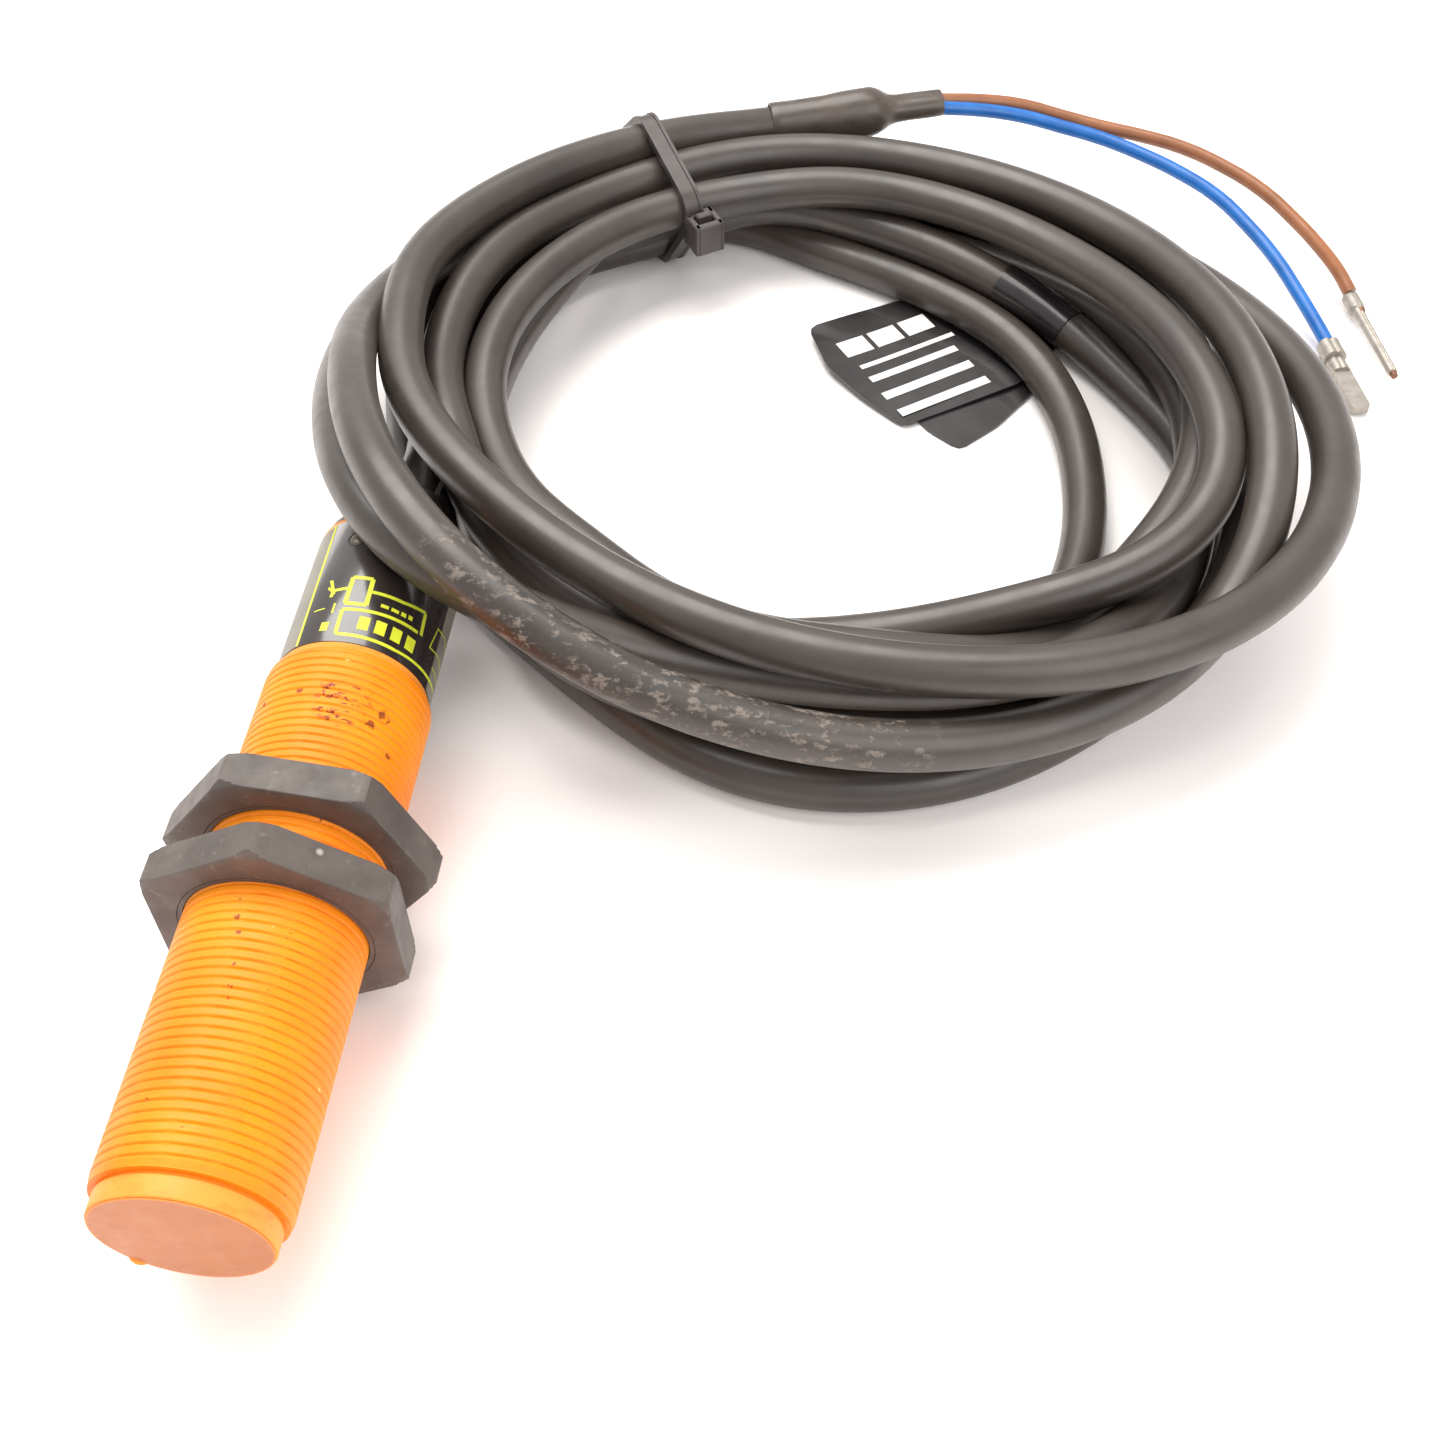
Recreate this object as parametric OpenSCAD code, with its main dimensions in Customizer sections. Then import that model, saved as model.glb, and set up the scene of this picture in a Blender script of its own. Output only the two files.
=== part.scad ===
// Cylindrical inductive proximity sensor: a threaded plastic barrel with two lock nuts, its
// internal electronics, and its cable, wound up and tied, with two crimped wire ends.
// Millimetres. The barrel's axis runs along +Y, the sensing face looks towards -Y, +Z is up.
// The origin is on the surface it lies on, beneath the middle of the sensor's own length.
// Inside the modules, s is the distance along the axis from the sensing face.

/* [Barrel] */
// Length of the sensor from its face to its rear cap
sensor_len = 82.4; // [78:0.1:90]
// Crest radius of the mounting thread, M18
thread_r = 9.0; // [8.9:0.01:9.05]
// Root radius of the mounting thread
root_r = 8.4; // [8.3:0.05:8.5]
// Pitch of the mounting thread
pitch = 1.0; // [1:0.25:1.5]
// Bore radius of the barrel
bore_r = 7.4; // [7.2:0.05:7.6]
// Radius of the smooth collar at the face
collar_r = 8.3; // [8.2:0.05:8.4]
// Radius of the barrel beneath the label
label_seat_r = 8.25; // [8.1:0.05:8.3]

/* [Lock nuts] */
// Width across the flats of the nuts
nut_af = 24; // [22:0.5:27]
// Thickness of the nuts
nut_t = 4; // [3:0.1:5]
// Distance from the face to the front nut
front_nut_s = 30.55; // [30.3:0.05:30.9]
// Distance from the face to the rear nut
rear_nut_s = 38.85; // [37:0.05:50]
// Turn of the rear nut from corner-up, towards -X
rear_nut_turn = 22.7; // [0:0.1:60]

/* [Cable] */
// Outer diameter of the cable
cable_d = 5.6; // [5:0.1:6]
// Outer radius of the wound cable
coil_out_r = 64; // [60:0.5:68]
// Inner radius of the wound cable
coil_in_r = 40; // [36:0.5:44]
// Height of the wound cable
coil_h = 27; // [24:0.5:30]
// Diameter of the insulated inner wires
wire_d = 2; // [1.6:0.1:2.4]

/* [Hidden] */
$fn = 96;
half_len = sensor_len / 2;
corner_r = nut_af / sqrt(3);
axis_z = corner_r;
slack = 0.05;
cut = 1;

// thread: flat crests a pitch apart, with one left out beneath the front nut, so that the
// free front thread and the thread beneath the nuts are two separate walls
thread_start = 2.5;
crest_flat = 0.55;
flank = 0.18;
crest_count = 58;
missing_crest = 28;
thread_end = thread_start + (crest_count - 1) * pitch + crest_flat;
label_s = 61.3;
label_end = 80.0;
label_t = 0.1;
barrel_end = 80.6;

// sensing face
face_r = 7.75;
face_t = 1.2;
cup_end = 8.5;
cup_in_r = 6.7;

// coil system behind the face
core_r = 6.6;
core_s = 1.3;
core_len = 6.4;
core_back = 1.6;
core_wall = 1.0;
post_r = 2.9;
post_hole_r = 1.0;
bobbin_in_r = 2.95;
bobbin_out_r = 5.5;
bobbin_wall = 0.4;
bobbin_s = core_s + 0.1;
bobbin_len = core_len - core_back - 0.2;
lead_x = 4.3;
lead_z = -0.3;
coil_lead_r = 0.15;

// board and the parts on it, heights from the barrel's axis
board_w = 11.6;
board_t = 1.0;
board_top = -0.5;
carrier_s = 8.6;
carrier_len = 2.2;
board_s = carrier_s + carrier_len + slack;
board_end = 78.4;
potting_s = 62.5;
potting_end = 79.45;
potting_clear_z = 1.7;

// rear cap, boot and status light
cap_flange_s = barrel_end + slack;
cap_r = 7.9;
cap_round = 1.2;
cable_r = cable_d / 2;
cable_start = 79.0;
boot_s = sensor_len + slack;
boot_len = 8.6;
boot_r1 = 4.5;
boot_r2 = 3.7;
lens_s = 76.5;
lens_turn = 12;
lens_r = 0.9;
lens_in = 3.2;
lens_out = 8.35;

// wound cable and what is on it
coil_x = 50;
coil_y = 116 - half_len;
coil_round = 5;
pocket_r = 9.2;
pocket_end = 93;
tie_turn = 30;
tie_w = 2.6;
tie_t = 1.2;
tie_gap = 0.05;
tie_head_gap = 0.25;
tie_head = [4.6, 6.2, 4.4];
tag_t = 0.45;
tag_outline = [[44, 142], [57.5, 153], [66, 147.5], [74.4, 132], [64.3, 119.3]];
tag_fold_shift = [1.2, -2.2];

// routes, each point chosen by hand: x, y, z
blue_route = [
  [62.5, 141.2, 13.3], [67, 141.7, 12.7], [72, 141.6, 12.2], [77, 141.2, 11.8], [83, 140, 11],
  [89, 137.9, 10.2], [95, 135, 9.4], [100.5, 131.2, 8.4], [105, 126, 7.1], [108.5, 120.5, 5.7],
  [111.8, 114.8, 4.2], [114.4, 109.8, 2.8], [116, 106.6, 2]
];
brown_route = [
  [62.5, 142.6, 15.1], [67, 142.9, 14.7], [73, 142.9, 14.2], [79, 142.3, 13.6], [85, 141.2, 12.8],
  [91, 139.8, 12], [97, 138.2, 11], [103, 136.2, 9.8], [108.5, 133.6, 8.4], [113, 130.2, 7],
  [116.6, 126, 5.4], [119.4, 121.8, 3.8], [121, 118.4, 2.6]
];
inner_blue_route = [
  [1.3, 78.95, 0.5], [1.35, 78.3, 0.5], [1.8, 77.4, 0.55], [2.7, 76.3, 0.6], [3.6, 75, 0.6],
  [4.1, 73.4, 0.6], [4.2, 71, 0.6], [4.2, 67.5, 0.6]
];
inner_wire_r = 0.9;
spade_turn = 18.5;
pin_turn = 13.5;

// ---- helpers ----

// children drawn along the barrel's axis, their +Z pointing to the rear
module on_axis(s = 0) {
  translate([0, s - half_len, axis_z]) rotate([-90, 0, 0]) children();
}

// a ring or a tube on the barrel's axis
module tube(s, len, r_out, r_in) {
  on_axis(s) difference() {
    cylinder(r = r_out, h = len);
    translate([0, 0, -cut]) cylinder(r = r_in, h = len + 2 * cut);
  }
}

// a block on the board: x and s are its middle, z its lowest point from the axis
module block(x, s, z, size) {
  translate([x - size[0] / 2, s - size[1] / 2 - half_len, axis_z + z]) cube(size);
}

function unit(v) = v / norm(v);
function along(path, i) = unit(path[min(i + 1, len(path) - 1)] - path[max(i - 1, 0)]);
function side_of(path, i) = unit(cross(along(path, i), [0, 0, 1]));
function ring_points(path, i, r, n) =
  let (u = side_of(path, i), v = cross(u, along(path, i)))
  [for (k = [0 : n - 1]) path[i] + r * (u * cos(360 * k / n) + v * sin(360 * k / n))];
function wall_faces(rings, n) = [
  for (i = [0 : rings - 2]) for (k = [0 : n - 1])
    [i * n + k, (i + 1) * n + k, (i + 1) * n + (k + 1) % n, i * n + (k + 1) % n]
];

// a round cord swept along its route's own points
module swept(path, r, n) {
  last = len(path) - 1;
  points = [for (i = [0 : last]) each ring_points(path, i, r, n)];
  ends = [[for (k = [0 : n - 1]) k], [for (k = [n - 1 : -1 : 0]) last * n + k]];
  polyhedron(points = points, faces = concat(ends, wall_faces(last + 1, n)));
}

// ---- barrel ----

function crest_s(i) = thread_start + i * pitch;
function crest(i) = [
  [root_r, crest_s(i) - flank], [thread_r, crest_s(i)],
  [thread_r, crest_s(i) + crest_flat], [root_r, crest_s(i) + crest_flat + flank]
];
outline = concat(
  [[face_r, 0], [collar_r - 0.25, 0], [collar_r, 0.25], [collar_r, 2.05], [8.1, 2.05]],
  [[8.1, thread_start - flank - 0.02]],
  [for (i = [0 : crest_count - 1]) if (i != missing_crest) each crest(i)],
  [[collar_r, label_s - 0.3], [collar_r, label_s], [label_seat_r, label_s]],
  [[label_seat_r, label_end], [collar_r, label_end], [collar_r, barrel_end - 0.15]],
  [[collar_r - 0.15, barrel_end], [bore_r, barrel_end], [bore_r, face_t + slack]],
  [[face_r, face_t + slack]]
);

module lens_way(r, from, to) {
  translate([0, lens_s - half_len, axis_z]) rotate([0, -lens_turn, 0])
    translate([0, 0, from]) cylinder(r = r, h = to - from);
}

module threaded_housing() {
  color([1, 0.62, 0.13]) difference() {
    on_axis() rotate_extrude() polygon(outline);
    lens_way(lens_r + slack, bore_r - cut, thread_r);
  }
}

// the face is a cup: its disc closes the barrel and its skirt holds the core
module sensing_face_cap() {
  color([0.91, 0.6, 0.44]) on_axis() rotate_extrude() polygon([
    [0, 0], [face_r - slack, 0], [face_r - slack, face_t], [bore_r - slack, face_t],
    [bore_r - slack, cup_end], [cup_in_r, cup_end], [cup_in_r, face_t], [0, face_t]
  ]);
}

module rating_label() {
  color([0.07, 0.07, 0.06]) difference() {
    tube(label_s + slack, label_end - label_s - 2 * slack, label_seat_r + label_t, label_seat_r + 0.01);
    lens_way(lens_r + slack, bore_r, thread_r);
    translate([-0.4, -half_len, 0]) cube([0.8, sensor_len, axis_z]);
  }
}

module rear_end_cap() {
  color([0.16, 0.14, 0.13]) on_axis() rotate_extrude() union() {
    polygon([
      [cable_r + slack, potting_end + slack], [bore_r - slack, potting_end + slack],
      [bore_r - slack, cap_flange_s], [cap_r, cap_flange_s], [cap_r, sensor_len - cap_round],
      [cap_r - cap_round, sensor_len], [cable_r + slack, sensor_len]
    ]);
    intersection() {
      translate([cap_r - cap_round, sensor_len - cap_round]) circle(r = cap_round);
      translate([0, cap_flange_s]) square([cap_r, cap_round + cut]);
    }
  }
}

module status_led_lens() {
  color([0.95, 0.8, 0.3]) lens_way(lens_r, lens_in, lens_out);
}

// ---- lock nuts ----

module nut(s, turn) {
  edge = 0.8;
  drop = 0.46;
  on_axis(s) difference() {
    intersection() {
      rotate(turn + 30) cylinder(r = corner_r, h = nut_t, $fn = 6);
      rotate_extrude() polygon([
        [0, 0], [corner_r - edge, 0], [corner_r + 0.05, drop],
        [corner_r + 0.05, nut_t - drop], [corner_r - edge, nut_t], [0, nut_t]
      ]);
    }
    translate([0, 0, -cut]) cylinder(r = thread_r + 0.6, h = nut_t + 2 * cut);
  }
}

// the threaded lining of a nut: it travels with the nut and the nut turns round it
module nut_thread(s) {
  inset = 0.1;
  tube(s + inset, nut_t - 2 * inset, thread_r + 0.55, thread_r + 0.06);
}

module front_lock_nut() {
  color([0.38, 0.34, 0.32]) nut(front_nut_s, 0);
}

module front_nut_thread() {
  color([0.34, 0.3, 0.28]) nut_thread(front_nut_s);
}

module rear_lock_nut() {
  color([0.38, 0.34, 0.32]) nut(rear_nut_s, -rear_nut_turn);
}

module rear_nut_thread() {
  color([0.34, 0.3, 0.28]) nut_thread(rear_nut_s);
}

// ---- sensing coil ----

module lead_holes(r, from, to) {
  for (side = [-1, 1])
    on_axis(from) translate([side * lead_x, -lead_z, 0]) cylinder(r = r, h = to - from);
}

module ferrite_core() {
  color([0.22, 0.22, 0.24]) difference() {
    on_axis(core_s) rotate_extrude() polygon([
      [post_hole_r, 0], [post_r, 0], [post_r, core_len - core_back],
      [core_r - core_wall, core_len - core_back], [core_r - core_wall, 0], [core_r, 0],
      [core_r, core_len], [post_hole_r, core_len]
    ]);
    lead_holes(0.4, core_s + core_len - core_back - cut, core_s + core_len + cut);
  }
}

module coil_bobbin() {
  color([0.9, 0.88, 0.8]) difference() {
    on_axis(bobbin_s) rotate_extrude() polygon([
      [bobbin_in_r, 0], [bobbin_out_r, 0], [bobbin_out_r, bobbin_wall],
      [bobbin_in_r + bobbin_wall, bobbin_wall], [bobbin_in_r + bobbin_wall, bobbin_len - bobbin_wall],
      [bobbin_out_r, bobbin_len - bobbin_wall], [bobbin_out_r, bobbin_len], [bobbin_in_r, bobbin_len]
    ]);
    lead_holes(0.3, bobbin_s + bobbin_len - bobbin_wall - 0.1, bobbin_s + bobbin_len + cut);
  }
}

module copper_winding() {
  gap = 0.03;
  tube(bobbin_s + bobbin_wall + gap, bobbin_len - 2 * (bobbin_wall + gap), bobbin_out_r - 0.3,
       bobbin_in_r + bobbin_wall + gap);
}

module coil_leads() {
  lead_end = 15;
  color([0.8, 0.45, 0.2]) lead_holes(coil_lead_r, bobbin_s + bobbin_len - bobbin_wall, lead_end);
}

module core_carrier() {
  color([0.2, 0.2, 0.2]) difference() {
    tube(carrier_s, carrier_len, bore_r - slack, 1.5);
    lead_holes(0.3, carrier_s - cut, carrier_s + carrier_len + cut);
  }
}

// ---- electronics ----

module circuit_board() {
  notch_r = 1.2;
  color([0.1, 0.42, 0.22]) difference() {
    translate([-board_w / 2, board_s - half_len, axis_z + board_top - board_t])
      cube([board_w, board_end - board_s, board_t]);
    for (side = [-1, 1])
      translate([side * board_w / 2, 60 - half_len, axis_z + board_top - board_t - cut])
        cylinder(r = notch_r, h = board_t + 2 * cut);
  }
}

// a flat package with gull-wing legs along its two long sides
module flat_package(x, s, size, legs, leg_pitch) {
  leg_w = 0.4;
  leg_h = 0.2;
  seat = board_top + 0.02;
  block(x, s, seat + 0.12, size);
  for (side = [-1, 1]) for (i = [0 : legs - 1]) {
    ls = s + (i - (legs - 1) / 2) * leg_pitch;
    block(x + side * (size[0] / 2 + 0.35), ls, seat, [1.0, leg_w, leg_h]);
  }
}

module oscillator_chip() {
  color([0.1, 0.1, 0.1]) flat_package(0, 22, [3.9, 4.9, 1.4], 4, 1.27);
}

module bridge_rectifier() {
  color([0.12, 0.12, 0.12]) flat_package(0, 40, [6.4, 4.8, 2.5], 2, 2.54);
}

module output_thyristor() {
  color([0.12, 0.11, 0.1]) flat_package(0, 50, [3.5, 6.5, 1.6], 3, 2.3);
}

module smoothing_capacitor() {
  can_r = 2;
  can_len = 6;
  color([0.75, 0.76, 0.78]) on_axis(56) translate([0, -(board_top + 0.05 + can_r), 0]) {
    cylinder(r = can_r, h = can_len);
    translate([-1, 0, -1]) cylinder(r = 0.25, h = 1);
    translate([1, 0, -1]) cylinder(r = 0.25, h = 1);
  }
}

module surge_varistor() {
  disc_r = 3.1;
  color([0.15, 0.3, 0.7]) translate([0, 31 - half_len, axis_z + board_top + 0.05 + disc_r])
    rotate([-90, 0, 0]) cylinder(r = disc_r, h = 2);
}

module chip_resistors() {
  chip = [1.25, 2.0, 0.5];
  color([0.15, 0.15, 0.17]) for (row = [0 : 5]) for (side = [-1, 1])
    block(side * 2.6, 17 + row * 7, board_top - board_t - chip[2] - 0.03, chip);
}

module status_led() {
  color([1, 0.75, 0.2]) {
    block(-0.4, lens_s, board_top + 0.03, [1.6, 1.6, 0.7]);
    translate([-0.55, lens_s - half_len, axis_z + board_top + 0.7]) cylinder(r = 0.6, h = 1.6);
  }
}

function mirrored(path) = [for (p = path) [-p[0], p[1], p[2]]];
function inside_barrel(path) = [for (p = path) [p[0], p[1] - half_len, p[2] + axis_z]];

module inner_blue_lead() {
  color([0.15, 0.45, 0.85]) swept(inside_barrel(inner_blue_route), inner_wire_r, 8);
}

module inner_brown_lead() {
  color([0.5, 0.28, 0.15]) swept(inside_barrel(mirrored(inner_blue_route)), inner_wire_r, 8);
}

// resin round the board's tail, with the way of the board, the leads and the light left open
module potting_compound() {
  way_w = board_w + 2 * slack;
  way_low = board_top - board_t - slack;
  color([0.25, 0.2, 0.16]) difference() {
    on_axis(potting_s) cylinder(r = bore_r - slack, h = potting_end - potting_s);
    translate([-way_w / 2, potting_s - cut - half_len, axis_z + way_low])
      cube([way_w, cable_start - potting_s + cut, potting_clear_z - way_low]);
    on_axis(cable_start - cut) cylinder(r = cable_r + slack, h = 2 * cut);
    lens_way(lens_r + slack, 1, thread_r);
  }
}

// ---- cable ----

module cable_boot() {
  color([0.12, 0.11, 0.11]) on_axis() rotate_extrude() polygon([
    [cable_r + slack, boot_s], [boot_r1, boot_s], [boot_r1, boot_s + 1.2],
    [boot_r2, boot_s + boot_len], [cable_r + slack, boot_s + boot_len]
  ]);
}

module cable_lead_in() {
  steps = 2;
  path = [for (i = [0 : steps])
    [0, cable_start + 0.02 + i * (pocket_end - cable_start - 0.04) / steps - half_len, axis_z]];
  color([0.25, 0.22, 0.21]) swept(path, cable_r, 12);
}

// section of the wound cable, its corners rounded
module coil_section(inset) {
  w = coil_out_r - coil_in_r;
  r = coil_round;
  translate([coil_in_r + inset, inset]) {
    iw = w - 2 * inset;
    ih = coil_h - 2 * inset;
    translate([r, 0]) square([iw - 2 * r, ih]);
    translate([0, r]) square([iw, ih - 2 * r]);
    for (x = [r, iw - r]) for (z = [r, ih - r]) translate([x, z]) circle(r = r);
  }
}

module at_coil() {
  translate([coil_x, coil_y, 0]) children();
}

// a slab across the wound cable where the tie goes round it
module tie_slab(w) {
  at_coil() rotate(90 + tie_turn) translate([coil_in_r - 4, -w / 2, -cut])
    cube([coil_out_r - coil_in_r + 8, w, coil_h + 2 * cut]);
}

module cable_coil() {
  color([0.27, 0.24, 0.23]) difference() {
    at_coil() rotate_extrude() coil_section(0);
    on_axis(label_s) cylinder(r = pocket_r, h = pocket_end - label_s);
    translate([-pocket_r, label_s - half_len, -cut])
      cube([2 * pocket_r, pocket_end - label_s, axis_z + cut]);
    difference() {
      tie_slab(tie_w + 2 * tie_gap);
      at_coil() rotate_extrude() coil_section(tie_t + tie_gap);
    }
  }
}

module cable_tie_strap() {
  color([0.1, 0.1, 0.1]) intersection() {
    tie_slab(tie_w);
    at_coil() rotate_extrude() difference() {
      coil_section(0);
      coil_section(tie_t);
    }
  }
}

// the head sits on the inner side of the coil, with the cut tail of the strap standing from it
module cable_tie_head() {
  tail = [1.2, 2.4, 7];
  color([0.1, 0.1, 0.1]) at_coil() rotate(90 + tie_turn)
    translate([coil_in_r - tie_head[0] - tie_head_gap, -tie_head[1] / 2, 5]) {
      cube(tie_head);
      translate([1, (tie_head[1] - tail[1]) / 2, tie_head[2]]) cube(tail);
    }
}

module flag_tag() {
  color([0.12, 0.12, 0.12]) translate([0, -half_len, 0]) {
    translate([0, 0, 0.1]) linear_extrude(tag_t) polygon(tag_outline);
    translate([tag_fold_shift[0], tag_fold_shift[1], 0.1 + tag_t]) linear_extrude(tag_t)
      polygon(tag_outline);
  }
}

// shrunk over the cable's end, swollen at its middle and drawn in round the two wires
module heat_shrink_sleeve() {
  color([0.09, 0.09, 0.09]) translate([34.5, 136.4, 14]) rotate([0, 0, -78.5]) rotate([-90, 0, 0])
    rotate_extrude() polygon([
      [0, 0], [3.1, 0], [3.1, 7], [3.5, 12], [3.5, 17], [2.9, 21], [2.1, 24.5], [2.1, 28], [0, 28]
    ]);
}

module blue_wire() {
  color([0.15, 0.45, 0.85]) swept(blue_route, wire_d / 2, 8);
}

module brown_wire() {
  color([0.6, 0.35, 0.2]) swept(brown_route, wire_d / 2, 8);
}

// a flat terminal: its barrel is crimped on the wire, its tongue lies on the surface
module blue_spade_terminal() {
  tongue = [3.6, 9, 0.8];
  barrel_len = 4.6;
  color([0.72, 0.71, 0.7]) translate([116.1, 106.3, 0]) rotate(180 + spade_turn) {
    translate([0, barrel_len, 1.6]) rotate([90, 0, 0]) cylinder(r = 1.5, h = barrel_len);
    translate([-tongue[0] / 2, barrel_len - 0.5, 0.6]) cube(tongue);
  }
}

// an open-barrel pin terminal: a crimped ferrule, then a round pin
module brown_pin_terminal() {
  ferrule_len = 5;
  pin_len = 10.5;
  color([0.75, 0.74, 0.72]) translate([121.2, 118, 2]) rotate([0, 0, 180 + pin_turn])
    rotate([-90, 0, 0]) {
      cylinder(r = 1.5, h = ferrule_len);
      cylinder(r = 0.95, h = ferrule_len + pin_len);
    }
}

threaded_housing();
sensing_face_cap();
rating_label();
rear_end_cap();
status_led_lens();
front_lock_nut();
front_nut_thread();
rear_lock_nut();
rear_nut_thread();
ferrite_core();
coil_bobbin();
copper_winding();
coil_leads();
core_carrier();
circuit_board();
oscillator_chip();
bridge_rectifier();
output_thyristor();
smoothing_capacitor();
surge_varistor();
chip_resistors();
status_led();
inner_blue_lead();
inner_brown_lead();
potting_compound();
cable_boot();
cable_lead_in();
cable_coil();
cable_tie_strap();
cable_tie_head();
flag_tag();
heat_shrink_sleeve();
blue_wire();
brown_wire();
blue_spade_terminal();
brown_pin_terminal();
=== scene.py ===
import math

import bmesh
import bpy
import numpy as np
from mathutils import Euler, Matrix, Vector


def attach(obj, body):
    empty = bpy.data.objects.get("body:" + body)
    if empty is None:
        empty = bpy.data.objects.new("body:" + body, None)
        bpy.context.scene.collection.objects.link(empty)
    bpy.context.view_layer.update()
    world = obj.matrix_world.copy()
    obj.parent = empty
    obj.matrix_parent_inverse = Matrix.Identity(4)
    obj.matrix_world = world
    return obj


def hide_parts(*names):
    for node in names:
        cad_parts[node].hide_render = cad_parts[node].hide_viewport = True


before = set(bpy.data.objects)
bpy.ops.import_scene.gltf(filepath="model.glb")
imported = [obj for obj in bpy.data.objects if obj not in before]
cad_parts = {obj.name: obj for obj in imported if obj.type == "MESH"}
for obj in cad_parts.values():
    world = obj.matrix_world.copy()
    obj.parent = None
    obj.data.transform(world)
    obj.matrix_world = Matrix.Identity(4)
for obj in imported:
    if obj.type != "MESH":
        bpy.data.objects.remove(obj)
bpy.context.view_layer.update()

# everything below is in mm unless it says otherwise; s is the distance from the sensor's face
MM = 0.001
HALF_LEN = 41.2  # from the face to the origin
AXIS_Z = 13.856  # the barrel's axis above the floor
CABLE_D = 5.6
WIRE_D = 2.0

# ---- camera ----

scene = bpy.context.scene
camera = bpy.data.objects.new("camera", bpy.data.cameras.new("camera"))
scene.collection.objects.link(camera)
camera.location = (0.05202, -0.09487, 0.15537)
camera.rotation_euler = Euler((math.radians(39.255), 0, math.radians(5.876)))
camera.data.lens = 42.77
camera.data.sensor_width = 36
camera.data.clip_start = 0.005
camera.data.clip_end = 20
scene.camera = camera

# ---- the cable's route, in mm ----

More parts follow.
